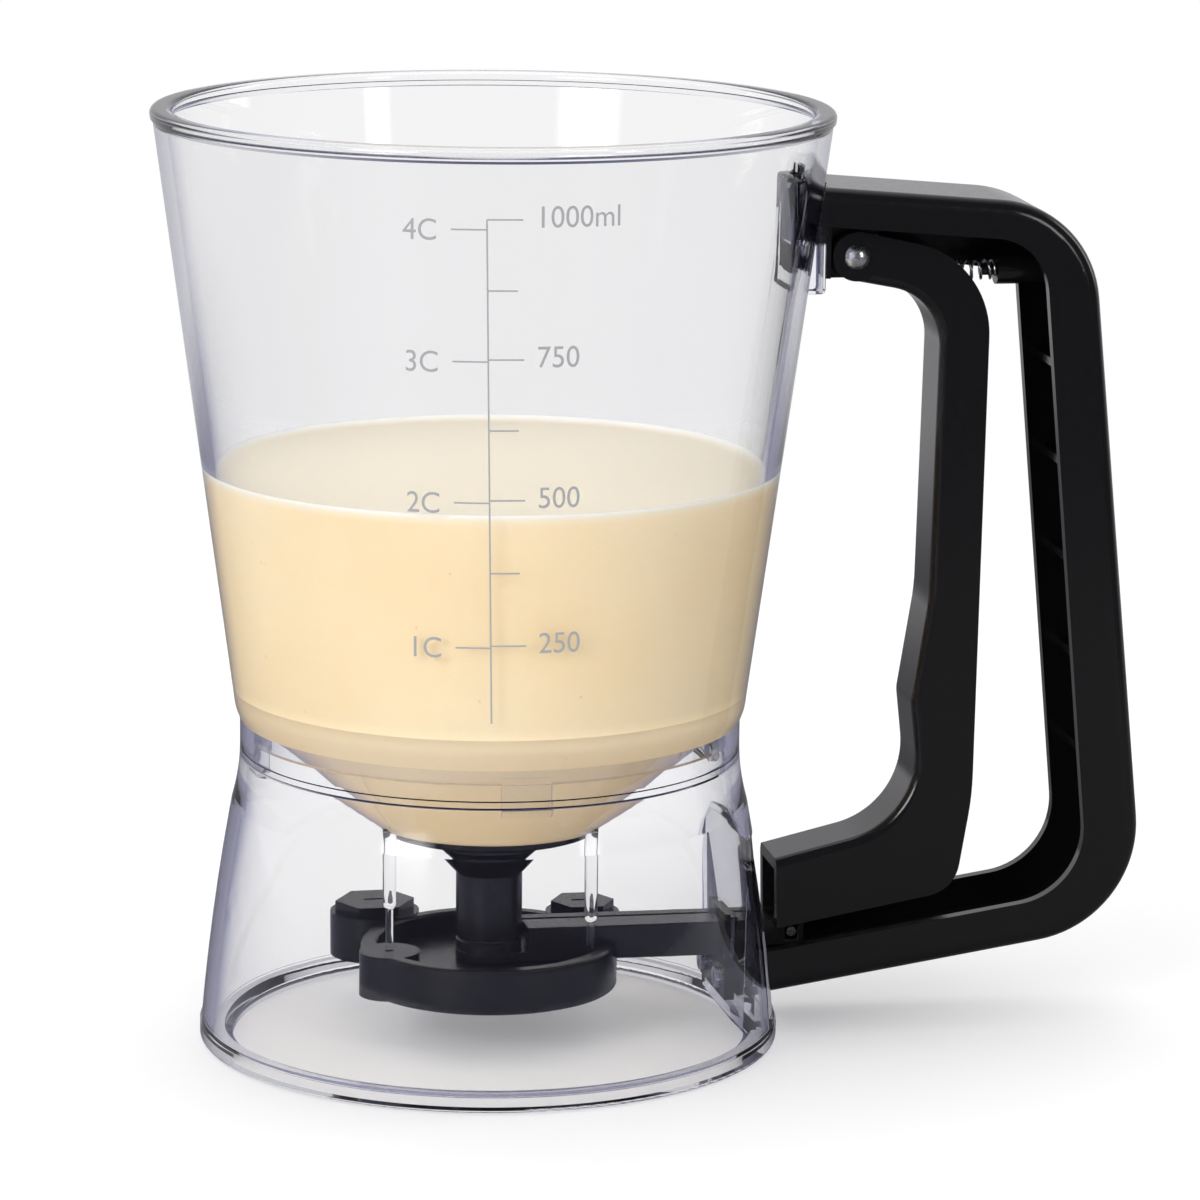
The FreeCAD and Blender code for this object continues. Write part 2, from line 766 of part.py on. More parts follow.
def make_lug_caps():
    caps = []
    for name in ("left", "right"):
        cap = document.addObject("Part::Prism", f"{name}_cap_block")
        cap.Polygon = 6
        tie(cap, "Circumradius", f"{name}_lug_radius - cap_margin")
        tie(cap, "Height", "cap_height")
        tie(cap, "Placement.Base.x", f"{name}_lug_x")
        tie(cap, "Placement.Base.y", f"{name}_lug_y")
        tie(cap, "Placement.Base.z", lug_top)
        slot = document.addObject("Part::Box", f"{name}_cap_slot")
        tie(slot, "Length", "cap_slot_length")
        tie(slot, "Width", "cap_slot_width")
        tie(slot, "Height", "cap_slot_depth + 1")
        tie(slot, "Placement.Base.x", f"{name}_lug_x - cap_slot_length / 2")
        tie(slot, "Placement.Base.y", f"{name}_lug_y - cap_slot_width / 2")
        tie(slot, "Placement.Base.z", f"{lug_top} + cap_height - cap_slot_depth")
        cut = document.addObject("Part::Cut", f"{name}_cap")
        cut.Base = cap
        cut.Tool = slot
        caps.append(cut)
    group = document.addObject("Part::Compound", "lug_caps")
    group.Label = "lug_caps"
    group.Links = caps
    document.recompute()
    return group


# Posts that hang the dish from the funnel, seated on its cone

def make_posts(hopper):
    posts = []
    for name in ("left", "right"):
        centre_x, centre_y, end = f"{name}_post_x", f"{name}_post_y", f"{name}_post_end"
        reach = f"sqrt({centre_x} * {centre_x} + {centre_y} * {centre_y})"
        rod = document.addObject("Part::Cylinder", f"{name}_post_rod")
        tie(rod, "Radius", "post_radius")
        tie(rod, "Height", f"{funnel_height(reach)} + 1 - {end}")
        tip = document.addObject("Part::Sphere", f"{name}_post_tip")
        tie(tip, "Radius", "post_radius")
        stem = document.addObject("Part::Cylinder", f"{name}_post_pin")
        tie(stem, "Radius", "pin_radius")
        pin_foot = f"({dish_top} - pin_depth + 0.2)"
        tie(stem, "Height", f"{end} - {pin_foot}")
        for piece, foot in ((rod, end), (tip, end), (stem, pin_foot)):
            tie(piece, "Placement.Base.x", centre_x)
            tie(piece, "Placement.Base.y", centre_y)
            tie(piece, "Placement.Base.z", foot)
        whole = document.addObject("Part::MultiFuse", f"{name}_post_whole")
        whole.Shapes = [rod, tip, stem]
        seated = document.addObject("Part::Cut", f"{name}_post")
        seated.Base = whole
        seated.Tool = hopper
        posts.append(seated)
    group = document.addObject("Part::Compound", "valve_posts")
    group.Label = "valve_posts"
    group.Links = posts
    document.recompute()
    return group


# Sliding gate: the pull arm with its nose plate, and the soft puck that shuts the tube

def make_gate():
    body = new_body("gate_arm")
    half = "(arm_width / 2)"
    start = "(tube_radius + arm_gap)"
    add_block(body, "XY_Plane", "arm_bar", box_points(start, arm_end, f"-{half}", half), arm_foot, arm_top)
    add_round(body, "XY_Plane", "arm_nose", "0", "0", "nose_radius", arm_foot, nose_top)
    add_block(body, "XY_Plane", "arm_neck", box_points("0", f"{start} + 1", f"-{half}", half), arm_foot, nose_top)
    fork_start = f"({arm_end} - fork_length)"
    cut_block(body, "XY_Plane", "arm_channel",
              box_points(f"{start} + 5", f"{fork_start} - 3", f"-{half} + arm_wall", f"{half} - arm_wall"),
              arm_foot, f"{arm_top} - arm_wall")
    cut_block(body, "XY_Plane", "arm_groove_cut",
              box_points(f"{start} - 1", f"{fork_start} - 1", "arm_groove_y - arm_groove / 2",
                         "arm_groove_y + arm_groove / 2"),
              f"{arm_top} - arm_groove_depth", f"{arm_top} + 1")
    cut_block(body, "XY_Plane", "fork_step", box_points(f"{fork_start} - 1", f"{arm_end} + 1", f"-{half} - 1", f"{half} + 1"),
              f"{arm_foot} - 1", f"{arm_foot} + fork_rise")
    gap = "(tongue_thickness / 2 + hitch_side_gap)"
    cut_block(body, "XY_Plane", "fork_gap", box_points(fork_start, f"{arm_end} + 1", f"-{gap}", gap),
              f"{arm_foot} - 1", f"{arm_top} + 1")
    slot_half = "(hitch_radius + hitch_play)"
    across(body, "hitch_slot",
           box_points(f"{hitch_x} - {slot_half}", f"{hitch_x} + {slot_half}",
                      f"{hitch_z} - {slot_half} - hitch_climb", f"{hitch_z} + {slot_half} + hitch_climb"),
           "arm_width + 2", cut=True)
    cut_round(body, "XY_Plane", "stem_hole", "0", "0", "puck_stem + pin_clearance", f"{arm_foot} - 1", f"{nose_top} + 1")
    turned("valve_puck", [
        ("0", f"{arm_foot} + 0.2"),
        ("puck_stem", f"{arm_foot} + 0.2"),
        ("puck_stem", nose_top),
        ("puck_radius", nose_top),
        ("puck_radius", f"{nose_top} + puck_thickness - 0.3"),
        ("puck_radius - 0.3", f"{nose_top} + puck_thickness"),
        ("0", f"{nose_top} + puck_thickness"),
    ])
    return body


def handle_corners():
    """the four outer and four inner corners of the D-shaped handle, before rounding"""
    top_x = f"({socket_face} + top_reach)"
    top_z = f"({handle_top} - top_fall)"
    foot_x = f"({panel_face} + foot_reach)"
    return {
        "outer_top": (top_x, top_z),
        "outer_foot": (foot_x, "foot_rise"),
        "inner_top": (f"({top_x} - spine_depth_top)", f"({top_z} - spine_drop_top)"),
        "inner_foot": (f"({foot_x} - spine_depth_foot)", "(foot_rise + spine_lift_foot)"),
    }


# Handle: a D-shaped channel, open on its inner side

def make_handle():
    corners = handle_corners()
    left = f"({socket_face} - handle_wall)"
    body = new_body("handle")
    shape = sketch_on(body, "XZ_Plane", "handle_outline")
    rounded_outline(shape, [
        (left, handle_top),
        corners["outer_top"],
        corners["outer_foot"],
        (panel_face, "foot_start"),
        (panel_face, "foot_start + foot_depth"),
        corners["inner_foot"],
        corners["inner_top"],
        (left, f"{handle_top} - top_depth"),
    ], {1: "top_corner", 2: "foot_corner", 5: "foot_inner_corner", 6: "top_inner_corner"})
    pad(body, shape, "grip_width", True)
    round_edges(body, "grip_edges", "grip_rounding",
                on_side("grip_width", corners["outer_top"], corners["outer_foot"]))
    lifted = "(foot_start + handle_wall)"
    top_in = (f"({corners['outer_top'][0]} - handle_wall)", ceiling(f"({corners['outer_top'][0]} - handle_wall)"))
    foot_in = (f"({corners['outer_foot'][0]} - handle_wall)", f"({corners['outer_foot'][1]} + handle_wall)")
    wall_end = f"({panel_face} + end_wall)"
    channel = sketch_on(body, "XZ_Plane", "handle_channel")
    rounded_outline(channel, [
        (f"{left} - 20", f"{handle_top} - handle_wall + 20 * {ceiling_slope}"),
        top_in,
        foot_in,
        (wall_end, lifted),
        (wall_end, "end_wall_top"),
        (f"{panel_face} - 5", "end_wall_top"),
        (f"{panel_face} - 5", f"{handle_top} - top_depth - 40"),
        (f"{left} - 20", f"{handle_top} - top_depth - 40"),
    ], {1: "top_corner - handle_wall", 2: "foot_corner - handle_wall"})
    pocket(body, channel, "grip_width - 2 * cheek", True)
    low, high = f"{handle_top} - top_depth - 12", f"{handle_top} + 4"
    fit = sketch_on(body, "XZ_Plane", "bowl_fit")
    outline(fit, [
        ("waist_radius - 20", low),
        (f"{bowl_radius(low)} + bowl_gap", low),
        (f"{bowl_radius(high)} + bowl_gap", high),
        ("waist_radius - 20", high),
    ])
    spin(body, fit, cut=True)
    half = "(socket_width / 2 + 0.4)"
    cut_block(body, "XY_Plane", "socket_room", box_points(f"{left} - 10", socket_face, f"-{half}", half),
              f"{socket_foot} - 5", f"{handle_top} + 5")
    for side, name in ((-1, "left"), (1, "right")):
        x = f"({pivot_x} + bracket_screw_reach - pivot_reach)"
        cut_round(body, "XY_Plane", f"bracket_hole_{name}", x, f"{side} * bracket_screw_y",
                  "screw_radius + screw_hole_gap", f"{ceiling(x)} - 6", f"{ceiling(x)} + screw_bite")
        cut_round(body, "YZ_Plane", f"foot_hole_{name}", f"{side} * clip_screw_y", "clip_screw_height",
                  "screw_radius + screw_hole_gap", f"{panel_face} - 1", f"{panel_face} + end_wall - 0.4")
    add_handle_ribs(body, top_in, foot_in)
    add_corner_web(body, corners["inner_top"][0])
    return body


def add_corner_web(body, inner_x):
    """a deeper rear cheek in the upper inner corner, behind the spring"""
    left, right = f"({pivot_x} + web_start)", f"({inner_x} + web_root)"
    sketch = sketch_on(body, "XZ_Plane", "corner_web", "-(grip_width / 2)")
    outline(sketch, [
        (left, f"{handle_top} - top_depth"),
        (left, f"{handle_top} - web_drop_left"),
        (right, f"{handle_top} - web_drop_right"),
        (right, f"{handle_top} - top_depth"),
    ])
    pad(body, sketch, "cheek")


def add_handle_ribs(body, top_in, foot_in):
    """cross ribs on the channel's floor, evenly down the spine"""
    count = int(amount_of("handle_rib_count"))
    sketch = sketch_on(body, "XZ_Plane", "spine_ribs")
    for index in range(count):
        share = f"({index + 1.5} / (handle_rib_count + 2))"
        x = f"({top_in[0]} + ({foot_in[0]} - {top_in[0]}) * {share})"
        z = f"({top_in[1]} + ({foot_in[1]} - {top_in[1]}) * {share})"
        outline(sketch, box_points(f"{x} - handle_rib_depth", f"{x} + 1", f"{z} - handle_rib / 2", f"{z} + handle_rib / 2"))
    pad(body, sketch, "grip_width - 2 * cheek + 1", True)


# Trigger: a lever with a rounded front web, two cheeks and an open back

def make_trigger():
    body = new_body("trigger")
    back_x = f"({pivot_x} + blade_reach)"
    front_x = f"({back_x} - blade_depth)"
    toe_x = f"({panel_face} + toe_reach)"
    toe_top = "(toe_height + toe_depth)"
    notch = "(heel_height + 40.4)"
    eye_rise = "(eye_radius * 1.023)"
    front_side = [(f"{front_x} - 1.1", f"{notch} + 21.0"), (f"{front_x} + 0.1", f"{pivot_z} - 8.35")]
    shape = sketch_on(body, "XZ_Plane", "trigger_outline")
    rounded_outline(shape, [
        (pivot_x, f"{pivot_z} + {eye_rise}"),
        (f"{back_x} + 0.1", f"{pivot_z} + {eye_rise} - 5.85"),
        (f"{back_x} - 1.4", "heel_height + 20.9"),
        (f"{back_x} - 4.6", "heel_height + 1.3"),
        (toe_x, "toe_height"),
        (f"{toe_x} - 0.3", toe_top),
        (f"{front_x} - 1.7", f"{toe_top} + 7.2"),
        (f"{front_x} - 4.4", notch),
    ] + front_side + [
        (pivot_x, f"{pivot_z} - {eye_rise}"),
    ], {1: "back_corner", 2: "back_sweep", 3: "heel_corner", 6: "crook_corner", 7: "notch_corner",
        8: "blade_sweep", 9: "neck_corner"})
    pad(body, shape, "trigger_width", True)
    round_edges(body, "front_edges", "trigger_rounding", on_side("trigger_width", *front_side))
    across_disc(body, "trigger_eye", pivot_x, pivot_z, "eye_radius", "trigger_width")
    web = "trigger_web"
    channel = sketch_on(body, "XZ_Plane", "trigger_channel")
    rounded_outline(channel, [
        (f"{pivot_x} + eye_radius + 0.8", f"{pivot_z} - {eye_rise} + {web} + 1.2"),
        (f"{front_x} + 0.1 + {web}", f"{pivot_z} - 8.35 + {web}"),
        (f"{front_x} - 1.1 + {web}", f"{notch} + 21.0"),
        (f"{front_x} - 4.4 + {web}", notch),
        (f"{front_x} - 1.7 + {web} * 1.07", f"{toe_top} + 7.2 - {web} * 0.76"),
        (f"{toe_x} - 8", f"{toe_top} - 1.85 - {web}"),
        (f"{toe_x} - 8", "toe_height - 8"),
        (f"{back_x} + 14", "toe_height - 8"),
        (f"{back_x} + 14", f"{pivot_z} + 12"),
        (f"{pivot_x} - 12", f"{pivot_z} + 12"),
        (f"{pivot_x} - 12", f"{pivot_z} - 9"),
        (f"{pivot_x} + eye_radius + 0.8", f"{pivot_z} - 9"),
    ], {1: f"neck_corner + {web}", 2: f"blade_sweep + {web}", 4: f"crook_corner + {web}"})
    pocket(body, channel, "trigger_width - 2 * trigger_cheek", True)
    add_trigger_ribs(body, front_x, back_x, toe_x, toe_top)
    cross_hole(body, "eye_hole", pivot_x, pivot_z, "rivet_radius + running_clearance", "trigger_width + 2")
    cross_hole(body, "hitch_hole", hitch_x, hitch_z, "hitch_radius + screw_hole_gap", "tongue_thickness + 2")
    return body


def add_trigger_ribs(body, front_x, back_x, toe_x, toe_top):
    """the spring's rib, cross ribs down the blade and the tongue that pulls the gate"""
    inside = "trigger_width - 2 * trigger_cheek + 1"
    across(body, "spring_rib", box_points(f"{spring_x} - 1.6", f"{spring_x} - 0.2", f"{pivot_z} - 8.4", f"{pivot_z} - 1.2"),
           inside)
    sketch = sketch_on(body, "XZ_Plane", "blade_ribs")
    for index in range(int(amount_of("trigger_rib_count"))):
        z = f"({pivot_z} - 24 - {index} * 70 / trigger_rib_count)"
        outline(sketch, box_points(f"{front_x} + trigger_web - 1", f"{back_x} - 2.2",
                                   f"{z} - trigger_rib / 2", f"{z} + trigger_rib / 2"))
    pad(body, sketch, inside, True)
    across(body, "toe_rib", box_points(f"{toe_x} + 10.5", f"{toe_x} + 10.5 + trigger_rib", "toe_height + 4.2",
                                       f"{toe_top} + 1.2"), inside)
    tongue = "tongue_half_length"
    across(body, "pull_tongue", box_points(f"{hitch_x} - {tongue}", f"{hitch_x} + {tongue}",
                                           f"{hitch_z} - hitch_radius - 1", f"{toe_top} - 0.6"), "tongue_thickness")


# Hinge bracket, clipped to the bowl's socket and screwed under the handle's top wall

def make_bracket():
    body = new_body("hinge_bracket")
    lug_right = f"({pivot_x} + lug_radius)"
    across(body, "bracket_lug", [
        (socket_face, f"{pivot_z} - lug_radius"),
        (pivot_x, f"{pivot_z} - lug_radius"),
        (lug_right, pivot_z),
        (lug_right, ceiling(lug_right)),
        (socket_face, ceiling(socket_face)),
    ], "lug_width", bends={1: (f"{pivot_x} + lug_radius * 0.707", f"{pivot_z} - lug_radius * 0.707")})
    root_end = f"({pivot_x} - eye_radius - 0.35)"
    across(body, "bracket_root", box_points(socket_face, root_end, f"{pivot_z} - lug_radius + 0.3", f"{ceiling(socket_face)} - 1"),
           "bracket_width")
    plate_end = f"({socket_face} + bracket_length)"
    across(body, "bracket_plate", [
        (socket_face, f"{ceiling(socket_face)} - bracket_plate"),
        (plate_end, f"{ceiling(plate_end)} - bracket_plate"),
        (plate_end, ceiling(plate_end)),
        (socket_face, ceiling(socket_face)),
    ], "grip_width - 2 * cheek - 0.4")
    flange_out = f"({socket_face} - slot_inset - slot_clearance)"
    flange_in = f"({socket_face} - slot_inset - slot_depth + slot_clearance)"
    wide = "(slot_width / 2 - slot_clearance * 2)"
    narrow = "(slot_neck / 2 - slot_clearance * 2)"
    add_block(body, "XY_Plane", "socket_tongue", [
        (flange_in, f"-{wide}"),
        (flange_out, f"-{wide}"),
        (flange_out, f"-{narrow}"),
        (f"{socket_face} + 0.5", f"-{narrow}"),
        (f"{socket_face} + 0.5", narrow),
        (flange_out, narrow),
        (flange_out, wide),
        (flange_in, wide),
    ], f"{socket_top} - slot_length + 0.3", f"{ceiling(socket_face)} - 0.6")
    cross_hole(body, "lug_hole", pivot_x, pivot_z, "rivet_radius + screw_hole_gap", "lug_width + 2")
    x = f"({pivot_x} + bracket_screw_reach - pivot_reach)"
    for side, name in ((-1, "left"), (1, "right")):
        cut_round(body, "XY_Plane", f"plate_hole_{name}", x, f"{side} * bracket_screw_y",
                  "screw_radius + screw_hole_gap", f"{ceiling(x)} - 6", f"{ceiling(x)} + 1")
    return body


def on_cross_axis(body, x, z):
    """turn a body of revolution so that its axis runs across the handle"""
    body.Placement = FreeCAD.Placement(FreeCAD.Vector(amount_of(x), 0, amount_of(z)),
                                       FreeCAD.Rotation(FreeCAD.Vector(1, 0, 0), 90))
    tie(body, "Placement.Base.x", x)
    tie(body, "Placement.Base.z", z)


def make_rivet():
    face = "(trigger_width / 2 + running_clearance)"
    dome = "((rivet_head_radius ^ 2 + rivet_dome ^ 2) / (2 * rivet_dome))"
    crown = f"(rivet_dome - {dome} + sqrt({dome} ^ 2 - rivet_head_radius ^ 2 / 4))"
    body = turned("pivot_rivet", [
        ("0", f"-{face} - rivet_dome"),
        ("rivet_head_radius", f"-{face}"),
        ("rivet_radius", f"-{face}"),
        ("rivet_radius", face),
        ("rivet_head_radius", face),
        ("0", f"{face} + rivet_dome"),
    ], {
        0: ("rivet_head_radius / 2", f"-{face} - {crown}"),
        4: ("rivet_head_radius / 2", f"{face} + {crown}"),
    })
    on_cross_axis(body, pivot_x, pivot_z)
    return body


def make_washers():
    near = "(lug_width / 2 + washer_gap)"
    far = "(trigger_width / 2 - trigger_cheek - washer_gap)"
    washers = []
    for side, name in ((-1, "front"), (1, "rear")):
        disc = document.addObject("Part::Cylinder", f"{name}_washer_disc")
        hole = document.addObject("Part::Cylinder", f"{name}_washer_hole")
        tie(disc, "Radius", "washer_radius")
        tie(hole, "Radius", "rivet_radius + running_clearance")
        for piece in (disc, hole):
            tie(piece, "Height", f"{far} - {near}")
            piece.Placement = FreeCAD.Placement(FreeCAD.Vector(), FreeCAD.Rotation(FreeCAD.Vector(1, 0, 0), 90))
            tie(piece, "Placement.Base.x", pivot_x)
            tie(piece, "Placement.Base.y", f"-{near}" if side < 0 else far)
            tie(piece, "Placement.Base.z", pivot_z)
        washer = document.addObject("Part::Cut", f"{name}_washer")
        washer.Base = disc
        washer.Tool = hole
        washers.append(washer)
    group = document.addObject("Part::Compound", "pivot_washers")
    group.Label = "pivot_washers"
    group.Links = washers
    document.recompute()
    return group


def make_hitch_pin():
    pin = document.addObject("Part::Cylinder", "hitch_pin")
    pin.Label = "hitch_pin"
    tie(pin, "Radius", "hitch_radius")
    tie(pin, "Height", "arm_width - 0.4")
    pin.Placement = FreeCAD.Placement(FreeCAD.Vector(), FreeCAD.Rotation(FreeCAD.Vector(1, 0, 0), 90))
    tie(pin, "Placement.Base.x", hitch_x)
    tie(pin, "Placement.Base.y", "arm_width / 2 - 0.2")
    tie(pin, "Placement.Base.z", hitch_z)
    return pin


# Return spring with the peg that carries its moving end and the seat that carries its fixed end

def rod_along_x(name, radius, start, length, z):
    rod = document.addObject("Part::Cylinder", name)
    rod.Placement = FreeCAD.Placement(FreeCAD.Vector(), FreeCAD.Rotation(FreeCAD.Vector(0, 1, 0), 90))
    tie(rod, "Radius", radius)
    tie(rod, "Height", length)
    tie(rod, "Placement.Base.x", start)
    tie(rod, "Placement.Base.z", z)
    return rod


def make_spring_ends(handle):
    rib_face = f"({spring_x} - 0.2)"
    peg = rod_along_x("spring_peg", "spring_peg", rib_face, "peg_length", spring_z)
    peg.Label = "spring_peg"
    seat_x = f"({spring_x} + spring_length)"
    reach = f"({handle_corners()['outer_top'][0]} - handle_wall / 2 - {seat_x})"
    stub = rod_along_x("seat_stub", "seat_peg_radius", seat_x, reach, spring_z)
    spigot = rod_along_x("seat_spigot", "spring_peg", f"{seat_x} - peg_length", "peg_length + 1", spring_z)
    whole = document.addObject("Part::Fuse", "seat_whole")
    whole.Base = stub
    whole.Tool = spigot
    seat = document.addObject("Part::Cut", "spring_seat")
    seat.Label = "spring_seat"
    seat.Base = whole
    seat.Tool = handle
    document.recompute()
    return seat


def arc_between(start, end, meet):
    """the arc that leaves start and reaches end along the two lines through meet"""
    middle = (start + end) / 2
    half = (end - start).Length / 2
    lift = meet - middle
    turn = math.atan2(lift.Length, half)
    via = middle + lift / lift.Length * half * math.tan(turn / 2)
    return Part.Arc(start, via, end).toShape()


def tangent_arcs(start, start_way, end, end_way):
    """two arcs that meet smoothly between two points with given directions"""
    gap = end - start
    both = start_way + end_way
    square = 2 * (start_way.dot(end_way) - 1)
    line = -2 * gap.dot(both)
    rest = gap.dot(gap)
    reach = -rest / line if abs(square) < 1e-9 else (-line - math.sqrt(line * line - 4 * square * rest)) / (2 * square)
    reach = abs(reach)
    first = start + start_way * reach
    last = end - end_way * reach
    join = (first + last) / 2
    return [arc_between(start, join, first), arc_between(join, end, last)]


def make_spring():
    radius = amount_of("coil_radius")
    wire = amount_of("spring_wire") / 2
    turns = int(amount_of("coil_turns"))
    start_x = amount_of(f"{spring_x}") - 0.2 + wire + amount_of("coil_end_gap")
    end_x = amount_of(f"{spring_x} + spring_length") - wire - amount_of("coil_end_gap")
    pitch = (end_x - start_x) / turns
    height = amount_of(spring_z)
    steps = 2

    def spot(share):
        angle = 2 * math.pi * share
        return FreeCAD.Vector(start_x + pitch * share, radius * math.cos(angle), height + radius * math.sin(angle))

    def way(share):
        angle = 2 * math.pi * share
        rise = FreeCAD.Vector(pitch, -2 * math.pi * radius * math.sin(angle), 2 * math.pi * radius * math.cos(angle))
        return rise / rise.Length

    arcs = []
    for index in range(turns * steps):
        here, there = index / steps, (index + 1) / steps
        arcs += tangent_arcs(spot(here), way(here), spot(there), way(there))
    path = Part.Wire(arcs)
    section = Part.Wire([Part.Circle(spot(0), way(0), wire).toShape()])
    shell = Part.BRepOffsetAPI.MakePipeShell(path)
    shell.add(section)
    shell.build()
    shell.makeSolid()
    coil = shell.shape()
    spring = document.addObject("Part::Feature", "return_spring")
    spring.Label = "return_spring"
    spring.Shape = coil
    expected = math.pi * wire * wire * path.Length
    samples = [(share / 24, spot(share / 24)) for share in range(turns * 24 + 1)]
    nearest = min((a - b).Length for s, a in samples for t, b in samples if t - s > 0.5)
    print("spring volume %.3f of %.3f, least gap to itself %.2f mm" % (coil.Volume, expected, nearest - 2 * wire))
    return spring


# Clip, guide and screws at the handle's foot, and the screws of the hinge bracket

def make_clip():
    body = new_body("lower_clip")
    add_block(body, "YZ_Plane", "clip_plate", box_points("-clip_width / 2", "clip_width / 2", "clip_foot", "clip_top"),
              f"{panel_back} - clip_thickness", panel_back)
    for side, name in ((-1, "left"), (1, "right")):
        cut_round(body, "YZ_Plane", f"clip_bore_{name}", f"{side} * clip_screw_y", "clip_screw_height",
                  "screw_radius + screw_hole_gap", f"{panel_back} - clip_thickness - 1", f"{panel_back} + 1")
    return body


def make_guide():
    body = new_body("arm_guide")
    half = "(window_width / 2 - window_clearance)"
    low = f"({arm_foot} - arm_lift - guide_wall + window_clearance)"
    high = f"({arm_top} + arm_lift + guide_wall - window_clearance)"
    add_block(body, "YZ_Plane", "guide_sleeve", box_points(f"-{half}", half, low, high), f"{panel_back} - 0.1", f"{panel_face} + 1.2")
    add_block(body, "YZ_Plane", "guide_flange_plate",
              box_points(f"-{half} - guide_flange", f"{half} + guide_flange", f"{low} - 0.2", f"{high} + guide_flange"),
              f"{panel_back} - 1.1", panel_back)
    cut_block(body, "YZ_Plane", "guide_bore",
              box_points("-arm_width / 2 - 0.3", "arm_width / 2 + 0.3", f"{arm_foot} - 0.3", f"{arm_top} + 0.3"),
              f"{panel_back} - 3", f"{panel_face} + 3")
    return body


def screw_set(name, spots, upright):
    """pan-head screws: each spot is the x, y, z of the head's underside, with the shank's length"""
    screws = []
    turn = FreeCAD.Rotation() if upright else FreeCAD.Rotation(FreeCAD.Vector(0, 1, 0), 90)
    along = "z" if upright else "x"
    for index, (x, y, z, length) in enumerate(spots):
        head = document.addObject("Part::Cylinder", f"{name}_head_{index}")
        shank = document.addObject("Part::Cylinder", f"{name}_shank_{index}")
        drive = document.addObject("Part::Box", f"{name}_drive_{index}")
        tie(head, "Radius", "screw_head_radius")
        tie(head, "Height", "screw_head")
        tie(shank, "Radius", "screw_radius")
        tie(shank, "Height", length)
        places = {"x": x, "y": y, "z": z}
        for piece, back in ((head, " - screw_head"), (shank, "")):
            piece.Placement = FreeCAD.Placement(FreeCAD.Vector(), turn)
            for axis, text in places.items():
                tie(piece, f"Placement.Base.{axis}", text + back if axis == along else text)
        slot = {"Length": "screw_head_radius * 1.5", "Width": "0.6", "Height": "1.1"}
        shift = {"x": " - screw_head_radius * 0.75", "y": " - 0.3", "z": " - screw_head - 0.6"}
        if not upright:
            slot = {"Length": "1.1", "Width": "0.6", "Height": "screw_head_radius * 1.5"}
            shift = {"x": " - screw_head - 0.6", "y": " - 0.3", "z": " - screw_head_radius * 0.75"}
        for field, text in slot.items():
            tie(drive, field, text)
        for axis, text in places.items():
            tie(drive, f"Placement.Base.{axis}", text + shift[axis])
        whole = document.addObject("Part::Fuse", f"{name}_whole_{index}")
        whole.Base = head
        whole.Tool = shank
        screw = document.addObject("Part::Cut", f"{name}_{index}")
        screw.Base = whole
        screw.Tool = drive
        screws.append(screw)
    group = document.addObject("Part::Compound", name)
    group.Label = name
    group.Links = screws
    document.recompute()
    return group


def make_screws():
    x = f"({pivot_x} + bracket_screw_reach - pivot_reach)"
    plate_foot_here = f"({ceiling(f'({x} + screw_head_radius)')} - bracket_plate)"
    length = f"{ceiling(x)} + screw_bite - 0.3 - {plate_foot_here}"
    screw_set("bracket_screws", [(x, "bracket_screw_y", plate_foot_here, length),
                                 (x, "-bracket_screw_y", plate_foot_here, length)], True)
    start = f"({panel_back} - clip_thickness)"
    reach = "clip_thickness + skirt_wall + end_wall - 0.8"
    screw_set("lower_screws", [(start, "clip_screw_y", "clip_screw_height", reach),
                               (start, "-clip_screw_y", "clip_screw_height", reach)], False)


hopper = make_hopper()
make_skirt()
make_outlet()
make_dish()
make_lug_caps()
make_posts(hopper)
make_gate()
handle = make_handle()
make_trigger()
make_bracket()
make_rivet()
make_washers()
make_hitch_pin()
make_spring_ends(handle)
make_spring()
make_clip()
make_guide()
make_screws()
document.recompute()

nodes = [
    "hopper", "base_skirt", "outlet_plate", "outlet_sleeve", "nozzle", "valve_posts", "valve_dish", "lug_caps",
    "gate_arm", "valve_puck", "handle", "trigger", "hinge_bracket", "pivot_rivet", "pivot_washers", "hitch_pin",
    "spring_peg", "spring_seat", "return_spring", "lower_clip", "arm_guide", "bracket_screws", "lower_screws",
]

for item in document.Objects:
    if "Invalid" in item.State or "Error" in item.State:
        raise RuntimeError(f"{item.Label} failed: {item.State}")
for node in nodes:
    shape = document.getObject(node).Shape
    if shape.isNull() or not shape.isValid():
        raise RuntimeError(f"{node} has no valid shape")

os.makedirs("parts", exist_ok=True)
for node in nodes:
    shape = document.getObject(node).Shape
    shape.exportStep(f"parts/{node}.step")
    print("%-15s %d solid(s) %10.1f mm3" % (node, len(shape.Solids), shape.Volume))
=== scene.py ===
import bpy
import bmesh
import json
import math
from mathutils import Matrix, Vector


